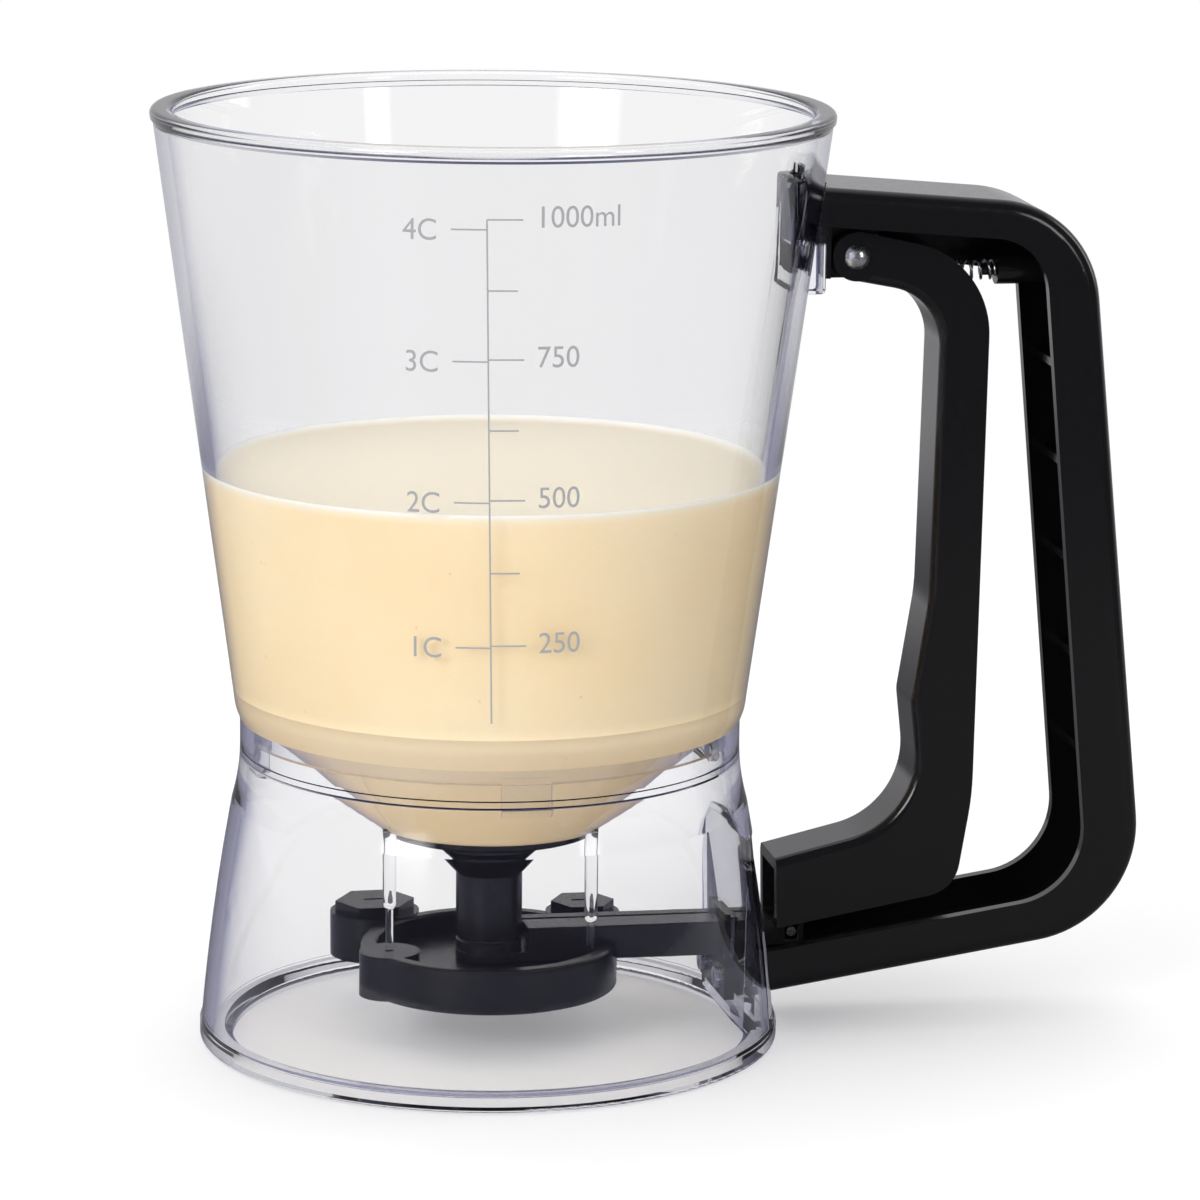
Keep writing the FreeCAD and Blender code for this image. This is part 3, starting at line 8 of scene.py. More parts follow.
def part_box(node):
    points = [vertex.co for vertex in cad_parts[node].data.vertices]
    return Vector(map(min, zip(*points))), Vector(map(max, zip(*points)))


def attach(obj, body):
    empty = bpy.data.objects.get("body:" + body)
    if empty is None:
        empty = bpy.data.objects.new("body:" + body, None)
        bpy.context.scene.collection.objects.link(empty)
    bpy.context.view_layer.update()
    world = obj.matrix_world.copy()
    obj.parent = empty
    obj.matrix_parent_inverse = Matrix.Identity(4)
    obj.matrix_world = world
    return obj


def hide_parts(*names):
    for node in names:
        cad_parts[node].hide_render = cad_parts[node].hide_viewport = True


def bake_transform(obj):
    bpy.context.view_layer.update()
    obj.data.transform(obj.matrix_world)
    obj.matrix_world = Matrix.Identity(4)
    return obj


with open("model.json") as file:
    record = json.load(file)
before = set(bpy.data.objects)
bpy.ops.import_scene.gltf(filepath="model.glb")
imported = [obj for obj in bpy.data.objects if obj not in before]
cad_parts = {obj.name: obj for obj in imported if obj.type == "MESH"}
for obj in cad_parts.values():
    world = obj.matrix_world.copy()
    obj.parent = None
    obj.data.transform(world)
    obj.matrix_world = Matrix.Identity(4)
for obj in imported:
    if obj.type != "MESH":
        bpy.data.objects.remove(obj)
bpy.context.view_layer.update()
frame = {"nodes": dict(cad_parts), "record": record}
print("frame loaded")


# Small helpers for objects and meshes

def linkPiece(name, data):
    piece = bpy.data.objects.new(name, data)
    bpy.context.collection.objects.link(piece)
    return piece


def meshPiece(name, verts, faces):
    mesh = bpy.data.meshes.new(name)
    mesh.from_pydata(verts, [], faces)
    return linkPiece(name, mesh)


def shapedMesh(piece):
    # the piece's mesh with its modifiers worked in
    return bpy.data.meshes.new_from_object(piece.evaluated_get(bpy.context.evaluated_depsgraph_get()))


def ringFaces(start, steps, n):
    # the sides of a tube whose rings have n points each
    faces = []
    for k in range(steps):
        here, there = start + k * n, start + (k + 1) * n
        for j in range(n):
            i = (j + 1) % n
            faces.append((here + j, here + i, there + i, there + j))
    return faces


# Camera, as the photograph was taken: a long lens a little above the bowl's middle
cameraSet = {
    "place": (-0.16566, -1.06453, 0.31206),
    "aim": (0.02137, -0.00377, 0.0888),
    "roll": math.radians(0.58),
    "lens": 166.14,
    "sensor": 36.0,
    "clip": (0.05, 20.0),
}


def makeCamera(c):
    lens = bpy.data.cameras.new("studioCamera")
    lens.lens = c["lens"]
    lens.sensor_width = c["sensor"]
    lens.clip_start, lens.clip_end = c["clip"]
    cam = linkPiece("studioCamera", lens)
    ahead = (Vector(c["aim"]) - Vector(c["place"])).normalized()
    side = ahead.cross(Vector((0, 0, 1))).normalized()
    up = side.cross(ahead)
    tiltedSide = side * math.cos(c["roll"]) + up * math.sin(c["roll"])
    tiltedUp = up * math.cos(c["roll"]) - side * math.sin(c["roll"])
    turn = Matrix((tiltedSide, tiltedUp, -ahead)).transposed().to_4x4()
    cam.matrix_world = Matrix.Translation(Vector(c["place"])) @ turn
    bpy.context.scene.camera = cam


makeCamera(cameraSet)


# Node helpers: each adds one node, wires it and gives back what comes out of it

def newMaterial(name):
    mat = bpy.data.materials.new(name)
    mat.use_nodes = True
    tree = mat.node_tree
    return mat, tree, tree.nodes["Principled BSDF"]


def addNode(tree, kind, **values):
    node = tree.nodes.new(kind)
    for key, value in values.items():
        if key in node.inputs:
            node.inputs[key].default_value = value
        else:
            setattr(node, key, value)
    return node


def mapRange(tree, value, start, end, low=0.0, high=1.0, smooth=False):
    node = addNode(tree, "ShaderNodeMapRange", interpolation_type="SMOOTHSTEP" if smooth else "LINEAR")
    for socket, number in (("From Min", start), ("From Max", end), ("To Min", low), ("To Max", high)):
        node.inputs[socket].default_value = number
    tree.links.new(value, node.inputs["Value"])
    return node.outputs["Result"]


def reckon(tree, operation, first, second, clamp=False):
    node = addNode(tree, "ShaderNodeMath", operation=operation, use_clamp=clamp)
    for socket, value in zip(node.inputs, (first, second)):
        if isinstance(value, float):
            socket.default_value = value
        else:
            tree.links.new(value, socket)
    return node.outputs["Value"]


def mixColours(tree, factor, first, second):
    node = addNode(tree, "ShaderNodeMix", data_type="RGBA")
    tree.links.new(factor, node.inputs["Factor"])
    for socket, colour in ((node.inputs[6], first), (node.inputs[7], second)):
        if isinstance(colour, tuple):
            socket.default_value = colour
        else:
            tree.links.new(colour, socket)
    return node.outputs[2]


def mixShaders(tree, factor, first, second):
    node = addNode(tree, "ShaderNodeMixShader")
    tree.links.new(factor, node.inputs["Fac"])
    tree.links.new(first, node.inputs[1])
    tree.links.new(second, node.inputs[2])
    return node.outputs["Shader"]


def colourRamp(tree, value, ends):
    node = addNode(tree, "ShaderNodeValToRGB")
    for element, (position, colour) in zip(node.color_ramp.elements, ends):
        element.position = position
        element.color = colour
    tree.links.new(value, node.inputs["Fac"])
    return node.outputs["Color"]


def noiseAt(tree, spot, scale, detail):
    noise = addNode(tree, "ShaderNodeTexNoise", Scale=scale, Detail=detail)
    tree.links.new(spot.outputs["Object"], noise.inputs["Vector"])
    return noise.outputs["Fac"]


def roughen(tree, shader, noise, strength, distance):
    bump = addNode(tree, "ShaderNodeBump", Strength=strength, Distance=distance)
    tree.links.new(noise, bump.inputs["Height"])
    tree.links.new(bump.outputs["Normal"], shader.inputs["Normal"])


def grainyFinish(tree, shader, g):
    # fine bump and a roughness that wanders, both from one noise
    noise = noiseAt(tree, addNode(tree, "ShaderNodeTexCoord"), g["grain"], 3.0)
    roughen(tree, shader, noise, g["peel"], g["deep"])
    tree.links.new(mapRange(tree, noise, 0.3, 0.7, g["low"], g["high"]), shader.inputs["Roughness"])


# Clear plastic: lets lamps through, and turns violet at its edges and along a long way through the wall
clearSet = {
    "ior": 1.49,
    "pane": (0.985, 0.985, 0.975, 1),
    "shadowPane": (0.985, 0.985, 0.99, 1),
    "edge": (0.21, 0.21, 0.55, 1),
    "edgeFrom": 0.72,
    "tint": (0.40, 0.40, 0.78, 1),
    "density": 10.0,
    "rough": 0.0,
}


def clearPlastic(c):
    mat, tree, shader = newMaterial("clearPlastic")
    facing = addNode(tree, "ShaderNodeLayerWeight", Blend=0.5)
    tone = colourRamp(tree, facing.outputs["Facing"], ((c["edgeFrom"], c["pane"]), (1.0, c["edge"])))
    tree.links.new(tone, shader.inputs["Base Color"])
    shader.inputs["Transmission Weight"].default_value = 1.0
    shader.inputs["Roughness"].default_value = c["rough"]
    shader.inputs["IOR"].default_value = c["ior"]
    out = tree.nodes["Material Output"]
    path = addNode(tree, "ShaderNodeLightPath")
    pane = addNode(tree, "ShaderNodeBsdfTransparent", Color=c["shadowPane"])
    mix = mixShaders(tree, path.outputs["Is Shadow Ray"], shader.outputs["BSDF"], pane.outputs["BSDF"])
    tree.links.new(mix, out.inputs["Surface"])
    soak = addNode(tree, "ShaderNodeVolumeAbsorption", Color=c["tint"], Density=c["density"])
    tree.links.new(soak.outputs["Volume"], out.inputs["Volume"])
    return mat


# Moulded black plastics, polished steel and the two silicones; peel and deep are the bump's strength and depth
finishSet = {
    "blackGloss": {"colour": (0.004, 0.004, 0.0045, 1), "grain": 700.0, "peel": 0.015, "deep": 0.0001,
                   "low": 0.13, "high": 0.19},
    "blackSatin": {"colour": (0.005, 0.005, 0.0055, 1), "grain": 700.0, "peel": 0.012, "deep": 0.0001,
                   "low": 0.20, "high": 0.27},
    "polishedSteel": {"colour": (0.78, 0.79, 0.80, 1), "grain": 2200.0, "peel": 0.05, "deep": 0.0001,
                      "low": 0.18, "high": 0.30, "metal": 1.0},
    "beigeSilicone": {"colour": (0.62, 0.46, 0.30, 1), "grain": 1500.0, "peel": 0.04, "deep": 0.00005,
                      "low": 0.26, "high": 0.36},
    "blackSilicone": {"colour": (0.005, 0.005, 0.005, 1), "grain": 1500.0, "peel": 0.04, "deep": 0.00005,
                      "low": 0.26, "high": 0.36},
}


def solidFinish(name, f):
    mat, tree, shader = newMaterial(name)
    shader.inputs["Base Color"].default_value = f["colour"]
    shader.inputs["Metallic"].default_value = f.get("metal", 0.0)
    grainyFinish(tree, shader, f)
    return mat


looks = {
    "clear_plastic": clearPlastic(clearSet),
    "black_plastic": solidFinish("blackGloss", finishSet["blackGloss"]),
    "dish_plastic": solidFinish("blackSatin", finishSet["blackSatin"]),
    "steel": solidFinish("polishedSteel", finishSet["polishedSteel"]),
    "beige_silicone": solidFinish("beigeSilicone", finishSet["beigeSilicone"]),
    "black_silicone": solidFinish("blackSilicone", finishSet["blackSilicone"]),
}
slotOf = {part["node"]: part["material_slot"] for part in frame["record"]["subparts"]}
for name, node in frame["nodes"].items():
    for slot in node.material_slots:
        slot.material = looks[slotOf[name]]
print("materials on the moulded parts")


# Moulded black pieces again, with the small roundings that a mould leaves along every edge
roundingSet = {
    "handle": {"body": "dispenser", "width": 0.0009},
    "trigger": {"body": "trigger", "width": 0.0008},
    "valve_dish": {"body": "dispenser", "width": 0.0004},
    "gate_arm": {"body": "gate", "width": 0.0004},
    "hinge_bracket": {"body": "dispenser", "width": 0.0004},
}
edgeSet = {
    "weld": 1e-6,
    "flat": math.radians(1.0),      # facets that bend less than this become one face
    "round": math.radians(28),      # edges that bend more than this are rounded
    "sharp": math.radians(32),      # and those that still bend more than this stay crisp
    "segments": 3,
}


def roundedCopy(nodeName, r):
    mesh = frame["nodes"][nodeName].data.copy()
    mesh.name = nodeName + "Rounded"
    shape = bmesh.new()
    shape.from_mesh(mesh)
    bmesh.ops.remove_doubles(shape, verts=shape.verts, dist=edgeSet["weld"])
    bmesh.ops.dissolve_limit(shape, angle_limit=edgeSet["flat"], verts=shape.verts, edges=shape.edges)
    shape.to_mesh(mesh)
    shape.free()
    piece = linkPiece(nodeName + "Rounded", mesh)
    bevel = piece.modifiers.new("moulded", "BEVEL")
    bevel.width = r["width"]
    bevel.segments = edgeSet["segments"]
    bevel.limit_method = "ANGLE"
    bevel.angle_limit = edgeSet["round"]
    bevel.use_clamp_overlap = True
    bevel.harden_normals = False
    smooth = shapedMesh(piece)
    piece.modifiers.clear()
    piece.data = smooth
    smooth.shade_smooth()
    smooth.set_sharp_from_angle(angle=edgeSet["sharp"])
    weights = piece.modifiers.new("flatFaces", "WEIGHTED_NORMAL")
    weights.keep_sharp = True
    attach(piece, r["body"])
    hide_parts(nodeName)


for name, rounding in roundingSet.items():
    roundedCopy(name, rounding)
print("black pieces rounded")


# Return spring: a steel helix between the peg on the trigger and the seat in the handle
springSet = {
    "coil": 0.00185,
    "wire": 0.00028,
    "turns": 6.0,
    "flat": 0.75,           # turns at each end that lie nearly flat
    "flatPitch": 0.00045,
    "lastPitch": 0.0006,
    "twist": 0.6,
    "grip": 0.0005,
    "sides": 10,
    "steps": 28,
}


def springAcross(s, turn, left, right):
    body = turn - s["flat"]
    if body < 0.0:
        return left + s["flatPitch"] + s["flatPitch"] * body
    if body > s["turns"]:
        return right - s["flatPitch"] + s["lastPitch"] * (body - s["turns"])
    return left + s["flatPitch"] + (right - left - 2 * s["flatPitch"]) * body / s["turns"]


def makeSpring(s):
    low, high = [Vector(v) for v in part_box("return_spring")]
    middle = (low + high) / 2
    left, right = low.x + s["wire"], high.x - s["wire"]
    total = int((s["turns"] + 2 * s["flat"]) * s["steps"])
    path = []
    for k in range(total + 1):
        turn = k / s["steps"]
        angle = 2 * math.pi * turn + s["twist"]
        path.append(Vector((springAcross(s, turn, left, right),
                            middle.y + s["coil"] * math.cos(angle), middle.z + s["coil"] * math.sin(angle))))
    verts = []
    for k, point in enumerate(path):
        ahead = (path[min(k + 1, total)] - path[max(k - 1, 0)]).normalized()
        outward = Vector((0, point.y - middle.y, point.z - middle.z)).normalized()
        side = ahead.cross(outward).normalized()
        outward = side.cross(ahead)
        for j in range(s["sides"]):
            a = 2 * math.pi * j / s["sides"]
            verts.append(point + (outward * math.cos(a) + side * math.sin(a)) * s["wire"])
    n = s["sides"]
    faces = ringFaces(0, total, n)
    faces.append(tuple(range(n))[::-1])
    faces.append(tuple(total * n + j for j in range(n)))
    piece = meshPiece("returnSpring", verts, faces)
    piece.data.shade_smooth()
    piece.data.validate()
    piece.data.materials.append(looks["steel"])
    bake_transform(piece)
    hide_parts("return_spring")


makeSpring(springSet)
print("spring wound")


# Turned pieces: a profile of radius and height, swept round the bowl's axis
turnedSet = {"weld": 1e-7, "speck": 1e-8, "sharp": math.radians(35)}


def turned(name, profile, body, material, steps=192, closed=True):
    verts, faces = [], []
    for step in range(steps):
        angle = 2 * math.pi * step / steps
        verts += [(r * math.cos(angle), r * math.sin(angle), z) for r, z in profile]
    count = len(profile)
    last = count if closed else count - 1
    for step in range(steps):
        here, there = step * count, ((step + 1) % steps) * count
        for k in range(last):
            n = (k + 1) % count
            faces.append((here + k, there + k, there + n, here + n))
    piece = meshPiece(name, verts, faces)
    mesh = piece.data
    shape = bmesh.new()
    shape.from_mesh(mesh)
    bmesh.ops.remove_doubles(shape, verts=shape.verts, dist=turnedSet["weld"])
    bmesh.ops.dissolve_degenerate(shape, dist=turnedSet["speck"], edges=shape.edges)
    bmesh.ops.recalc_face_normals(shape, faces=shape.faces)
    shape.to_mesh(mesh)
    shape.free()
    mesh.shade_smooth()
    mesh.set_sharp_from_angle(angle=turnedSet["sharp"])
    mesh.materials.append(material)
    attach(piece, body)
    return piece


# The bowl's outside wall, a straight taper from the shoulder to the bead
wallSet = {"lowZ": 0.0699, "lowR": 0.0510, "highZ": 0.1844, "highR": 0.0664, "thick": 0.0026}


def wallRadius(z):
    w = wallSet
    return w["lowR"] + (z - w["lowZ"]) * (w["highR"] - w["lowR"]) / (w["highZ"] - w["lowZ"])


# Clear bowl, turned finely so that light bends cleanly in its bead, wall and shoulder
bowlSet = {
    "steps": 288,
    "sharp": math.radians(32),
    # bead round the rim
    "rimR": 0.0670, "rimZ": 0.1868, "beadIn": 0.0626, "beadRound": 0.0011, "beadFoot": 0.1850, "beadSteps": 8,
    "footIn": 0.0001, "footDown": 0.0002, "innerDown": 0.0006,
    # shoulder, waist and the tongue that goes into the skirt
    "shoulder": (0.0510, 0.0699), "waist": (0.0498, 0.0656), "waistBulge": 0.00025, "waistSteps": 6,
    "tongueOut": 0.04705, "tongueIn": 0.04445, "tongueZ": 0.0622,
    # funnel
    "funnelTop": 0.06461, "funnelFoot": (0.0216, 0.0431), "throat": (0.0181, 0.0431), "floor": (0.04863, 0.0716),
    # snap hooks under the tongue
    "hooks": 4, "hookTurn": math.radians(12), "hookSteps": 6,
    "hookOut": 0.04625, "hookStem": 0.0019, "hookFoot": 0.0555, "hookRidge": (0.0009, 0.0015, 0.0018),
    # socket for the handle, with its T-shaped slot
    "socketX": 0.0652, "socketDepth": 0.006, "socketHalf": 0.0085, "socketFoot": 0.150, "socketTop": 0.1725,
    "socketRound": 0.0009, "socketSegments": 3,
    "slotFoot": 0.1593, "slotInset": 0.0025, "slotDepth": 0.0016, "slotHalf": 0.0049, "neckHalf": 0.0029,
    # how far the shapes run into or past each other before they are joined
    "overlap": 0.001, "slotAbove": 0.002,
}


def arcPoints(centre, radius, start, end, count):
    points = []
    for k in range(count + 1):
        angle = math.radians(start + (end - start) * k / count)
        points.append((centre[0] + radius * math.cos(angle), centre[1] + radius * math.sin(angle)))
    return points


def bowlProfile(b):
    r, rim, top, w = b["beadRound"], b["rimR"], b["rimZ"], wallSet
    (sr, sz), (wr, wz) = b["shoulder"], b["waist"]
    points = [b["throat"], b["funnelFoot"], (b["tongueIn"], b["funnelTop"]), (b["tongueIn"], b["tongueZ"]),
              (b["tongueOut"], b["tongueZ"]), (b["tongueOut"], wz)]
    for k in range(b["waistSteps"] + 1):
        share = k / b["waistSteps"]
        bulge = b["waistBulge"] * math.sin(math.pi * share)
        points.append((wr + (sr - wr) * share + bulge, wz + (sz - wz) * share))
    points += [(w["highR"], w["highZ"]), (rim - b["footIn"], b["beadFoot"] - b["footDown"])]
    points += arcPoints((rim - r, top - r), r, 0, 90, b["beadSteps"])
    points += arcPoints((b["beadIn"] + r, top - r), r, 90, 180, b["beadSteps"])
    points += [(b["beadIn"], b["beadFoot"]), (w["highR"] - w["thick"], w["highZ"] - b["innerDown"]), b["floor"]]
    return points


def prism(name, outline, low, high):
    count = len(outline)
    verts = [(x, y, low) for x, y in outline] + [(x, y, high) for x, y in outline]
    faces = [tuple(range(count))[::-1], tuple(range(count, 2 * count))]
    faces += [(k, (k + 1) % count, count + (k + 1) % count, count + k) for k in range(count)]
    return meshPiece(name, verts, faces)


def hookRing(b):
    verts, faces = [], []
    out, stem, foot, top = b["hookOut"], b["hookStem"], b["hookFoot"], b["tongueZ"] + b["overlap"]
    low, high, back = b["hookRidge"]
    section = [(out - stem, top), (out - stem, foot), (out, foot), (b["tongueOut"], foot + low),
               (b["tongueOut"], foot + high), (out, foot + back), (out, top)]
    n, steps = len(section), b["hookSteps"]
    for hook in range(b["hooks"]):
        start = len(verts)
        for k in range(steps + 1):
            angle = 2 * math.pi * hook / b["hooks"] + b["hookTurn"] * (k / steps - 0.5)
            verts += [(r * math.cos(angle), r * math.sin(angle), z) for r, z in section]
        faces += ringFaces(start, steps, n)
        faces.append(tuple(start + j for j in range(n)))
        faces.append(tuple(start + steps * n + j for j in range(n))[::-1])
    return meshPiece("hooks", verts, faces)


def facingOut(piece):
    shape = bmesh.new()
    shape.from_mesh(piece.data)
    bmesh.ops.recalc_face_normals(shape, faces=shape.faces)
    shape.to_mesh(piece.data)
    shape.free()


def joinShapes(piece, tool, how):
    step = piece.modifiers.new(how, "BOOLEAN")
    step.operation = how
    step.solver = "EXACT"
    step.object = tool
    mesh = shapedMesh(piece)
    piece.modifiers.clear()
    piece.data = mesh
    bpy.data.objects.remove(tool)


def makeBowl(b):
    bowl = turned("clearBowl", bowlProfile(b), "dispenser", looks["clear_plastic"], steps=b["steps"])
    x, back, half = b["socketX"], b["socketX"] - b["socketDepth"], b["socketHalf"]
    block = prism("block", [(back, -half), (x, -half), (x, half), (back, half)], b["socketFoot"], b["socketTop"])
    edge = block.modifiers.new("moulded", "BEVEL")
    edge.width = b["socketRound"]
    edge.segments = b["socketSegments"]
    face, wide, neck = x - b["slotInset"], b["slotHalf"], b["neckHalf"]
    deep, past = face - b["slotDepth"], x + b["overlap"]
    outline = [(deep, -wide), (face, -wide), (face, -neck), (past, -neck),
               (past, neck), (face, neck), (face, wide), (deep, wide)]
    slot = prism("slot", outline, b["slotFoot"], b["socketTop"] + b["slotAbove"])
    hooks = hookRing(b)
    for tool in (block, slot, hooks):
        facingOut(tool)
    joinShapes(bowl, block, "UNION")
    joinShapes(bowl, hooks, "UNION")
    joinShapes(bowl, slot, "DIFFERENCE")
    bowl.data.shade_smooth()
    bowl.data.set_sharp_from_angle(angle=b["sharp"])
    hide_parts("hopper")


makeBowl(bowlSet)
print("bowl turned")


# Batter: fills the bowl up to its line, the funnel and the tube
batterSet = {
    "top": 0.1153,
    "wetting": 0.00012,     # how far it runs into the wall's skin, so that no air shows between them
    "floorSpread": 1.2,     # the same skin measured sideways at the funnel's foot and at the shoulder's bend
    "bendSpread": 0.7,
    "climb": 0.0011,        # how high, how far in and how hollow it clings to the wall
    "clingIn": 0.0035,
    "clingHollow": 2.4,
    "clingSteps": 6,
    "surface": (0.045, 0.03, 0.015, 0.0),
    "floorR": 0.0181,
    "floorZ": 0.0431,
    "bendR": 0.04863,
    "bendZ": 0.0716,
    "throatR": 0.0055,
    "sleeve": (0.0054, 0.0372),
    "tubeR": 0.0049,
    "tubeTop": 0.0332,
    "tubeZ": 0.0203,
}
batterLooks = {
    "cloud": 28.0,          # noise size of the slow change of tone, and the two tones
    "tones": ((0.35, (0.91, 0.735, 0.46, 1)), (0.65, (0.94, 0.785, 0.53, 1))),
    "cells": 330.0,
    "cellEdge": (0.05, 0.14),
    "speckDepth": 0.35,
    "few": 120.0,
    "fewEdge": (0.60, 0.66),
    "speck": (0.62, 0.36, 0.12, 1),
    # painted light: the top surface's paler, sky-lit tone, set by height
    "paintedTopLight": (0.93, 0.84, 0.66, 1),
    "paintedTopEdge": (-0.0012, 0.0002),     # heights from the batter's line
    "cling": (0.97, 0.94, 0.86, 1),
    "clingEdge": (0.0002, 0.0007),
    # painted light: a warm glow on the funnel part of the batter
    "through": (0.93, 0.72, 0.46, 1),
    "throughGlow": 0.20,
    "throughEdge": 0.002,
    "rough": 0.32,
    "ior": 1.36,
    "under": 0.25,
    "underReach": (0.9, 0.6, 0.3),
    "underScale": 0.003,
    "ripple": 160.0,
    "rippleBump": (0.12, 0.0004),
}


def batterMaterial(b):
    mat, tree, shader = newMaterial("creamBatter")
    spot = addNode(tree, "ShaderNodeTexCoord")
    tone = colourRamp(tree, noiseAt(tree, spot, b["cloud"], 4.0), b["tones"])
    # small warm specks
    cells = addNode(tree, "ShaderNodeTexVoronoi", Scale=b["cells"], Randomness=1.0)
    tree.links.new(spot.outputs["Object"], cells.inputs["Vector"])
    speck = mapRange(tree, cells.outputs["Distance"], *b["cellEdge"], b["speckDepth"], 0.0)
    gate = mapRange(tree, noiseAt(tree, spot, b["few"], 1.0), *b["fewEdge"])
    speckled = mixColours(tree, reckon(tree, "MULTIPLY", speck, gate), tone, b["speck"])
    # painted light: a paler colour given by height, from just under the batter's line over the whole top surface,
    # for the top's sky-lit look; and a white line where it clings to the wall
    height = addNode(tree, "ShaderNodeSeparateXYZ")
    tree.links.new(spot.outputs["Object"], height.inputs["Vector"])
    height = height.outputs["Z"]
    paintedTopLight = mapRange(tree, height, *[batterSet["top"] + rise for rise in b["paintedTopEdge"]])
    pale = mixColours(tree, paintedTopLight, speckled, b["paintedTopLight"])
    cling = mapRange(tree, height, *[batterSet["top"] + rise for rise in b["clingEdge"]])
    tree.links.new(mixColours(tree, cling, pale, b["cling"]), shader.inputs["Base Color"])
    # painted light: the batter below the shoulder's bend glows a little, to lift the shade on the downward-facing
    # funnel
    bend, soft = batterSet["bendZ"], b["throughEdge"]
    paintedFunnelGlow = mapRange(tree, height, bend + soft, bend - soft, 0.0, b["throughGlow"])
    tree.links.new(paintedFunnelGlow, shader.inputs["Emission Strength"])
    shader.inputs["Emission Color"].default_value = b["through"]
    shader.inputs["Roughness"].default_value = b["rough"]
    shader.inputs["Subsurface Weight"].default_value = b["under"]
    shader.inputs["Subsurface Radius"].default_value = b["underReach"]
    shader.inputs["Subsurface Scale"].default_value = b["underScale"]
    shader.inputs["IOR"].default_value = b["ior"]
    roughen(tree, shader, noiseAt(tree, spot, b["ripple"], 3.0), *b["rippleBump"])
    return mat


def makeBatter(b):
    skin, top, climb = b["wetting"], b["top"], b["climb"]
    edge = wallRadius(top) - wallSet["thick"] + skin
    climbed = wallRadius(top + climb) - wallSet["thick"] + skin
    profile = [(0.0, b["tubeZ"]), (b["tubeR"], b["tubeZ"]), (b["tubeR"], b["tubeTop"]), b["sleeve"],
               (b["throatR"], b["floorZ"] - skin), (b["floorR"] + b["floorSpread"] * skin, b["floorZ"] - skin),
               (b["bendR"] + b["bendSpread"] * skin, b["bendZ"] - skin), (edge, top)]
    for k in range(b["clingSteps"] + 1):
        share = k / b["clingSteps"]
        profile.append((climbed - b["clingIn"] * share, top + climb * (1 - share) ** b["clingHollow"]))
    profile += [(r, top) for r in b["surface"]]
    turned("batter", profile, "dispenser", batterMaterial(batterLooks), closed=False)


makeBatter(batterSet)
print("batter poured")


# Printed scale: thin grey print wrapped on the bowl's wall, facing the camera side
scaleSet = {
    "angle": math.radians(-99.3),
    "lift": 0.00004,
    "line": 0.00033,
    "lineParts": 24,
    "markParts": 12,
    "sway": (-0.0006, 0.0013, 0.0982),      # the long line's lean: at its top, the change by its foot, its height
    "longMark": 0.0067,
    "shortMark": 0.0056,
    "textHigh": 0.0043,
    "capital": 0.73,                        # a capital's height as a share of the letter size
    "squeeze": 0.94,
    "curveSteps": 8,
    "textRight": 0.0090,
    "textLeft": -0.0092,
    "textDrop": 0.0021,
    "textRise": 0.0006,
    "top": 0.1735,
    "foot": 0.0753,
    "millilitres": [(0.1735, "1000ml"), (0.1468, "750"), (0.1195, "500"), (0.0908, "250")],
    "halves": [0.1600, 0.1331, 0.1052],
    "cups": [(0.1716, "4C"), (0.1464, "3C"), (0.1190, "2C"), (0.0904, "1C")],
    "finish": {"colour": (0.31, 0.31, 0.32, 1), "grain": 3000.0, "peel": 0.1, "deep": 0.00002,
               "low": 0.45, "high": 0.6},
}


def lineSway(z):
    start, more, height = scaleSet["sway"]
    return start + (scaleSet["top"] - z) / height * more


def onWall(u, z):
    r = wallRadius(z) + scaleSet["lift"]
    angle = scaleSet["angle"] + u / r
    return (r * math.cos(angle), r * math.sin(angle), z)


def printBar(verts, faces, u0, u1, z0, z1, parts):
    start = len(verts)
    for k in range(parts + 1):
        share = k / parts
        if abs(u1 - u0) > abs(z1 - z0):
            u = u0 + (u1 - u0) * share
            verts += [onWall(u, z0), onWall(u, z1)]
        else:
            z = z0 + (z1 - z0) * share
            sway = lineSway(z)
            verts += [onWall(u0 + sway, z), onWall(u1 + sway, z)]
    for k in range(parts):
        a = start + 2 * k
        faces.append((a, a + 2, a + 3, a + 1))


def printText(verts, faces, text, u, z, align):
    curve = bpy.data.curves.new("scaleText", "FONT")
    curve.body = text
    curve.size = scaleSet["textHigh"] / scaleSet["capital"]
    curve.align_x = align
    curve.resolution_u = scaleSet["curveSteps"]
    holder = linkPiece("scaleText", curve)
    bpy.context.view_layer.update()
    shape = shapedMesh(holder)
    start = len(verts)
    for v in shape.vertices:
        verts.append(onWall(u + v.co.x * scaleSet["squeeze"], z + v.co.y))
    for poly in shape.polygons:
        faces.append(tuple(start + k for k in poly.vertices))
    bpy.data.objects.remove(holder)
    bpy.data.curves.remove(curve)
    bpy.data.meshes.remove(shape)


def makeScale(s):
    verts, faces = [], []
    half, parts = s["line"] / 2, s["markParts"]
    printBar(verts, faces, -half, half, s["foot"], s["top"], s["lineParts"])
    for z, text in s["millilitres"]:
        sway = lineSway(z)
        printBar(verts, faces, sway, sway + s["longMark"], z - half, z + half, parts)
        printText(verts, faces, text, sway + s["textRight"], z - s["textDrop"] + s["textRise"], "LEFT")
    for z in s["halves"]:
        sway = lineSway(z)
        printBar(verts, faces, sway, sway + s["shortMark"], z - half, z + half, parts)
    for z, text in s["cups"]:
        sway = lineSway(z)
        printBar(verts, faces, sway - s["longMark"], sway, z - half, z + half, parts)
        printText(verts, faces, text, sway + s["textLeft"], z - s["textDrop"], "RIGHT")
    piece = meshPiece("scalePrint", verts, faces)
    piece.data.materials.append(solidFinish("greyPrint", s["finish"]))
    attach(piece, "dispenser")


makeScale(scaleSet)
print("scale printed")


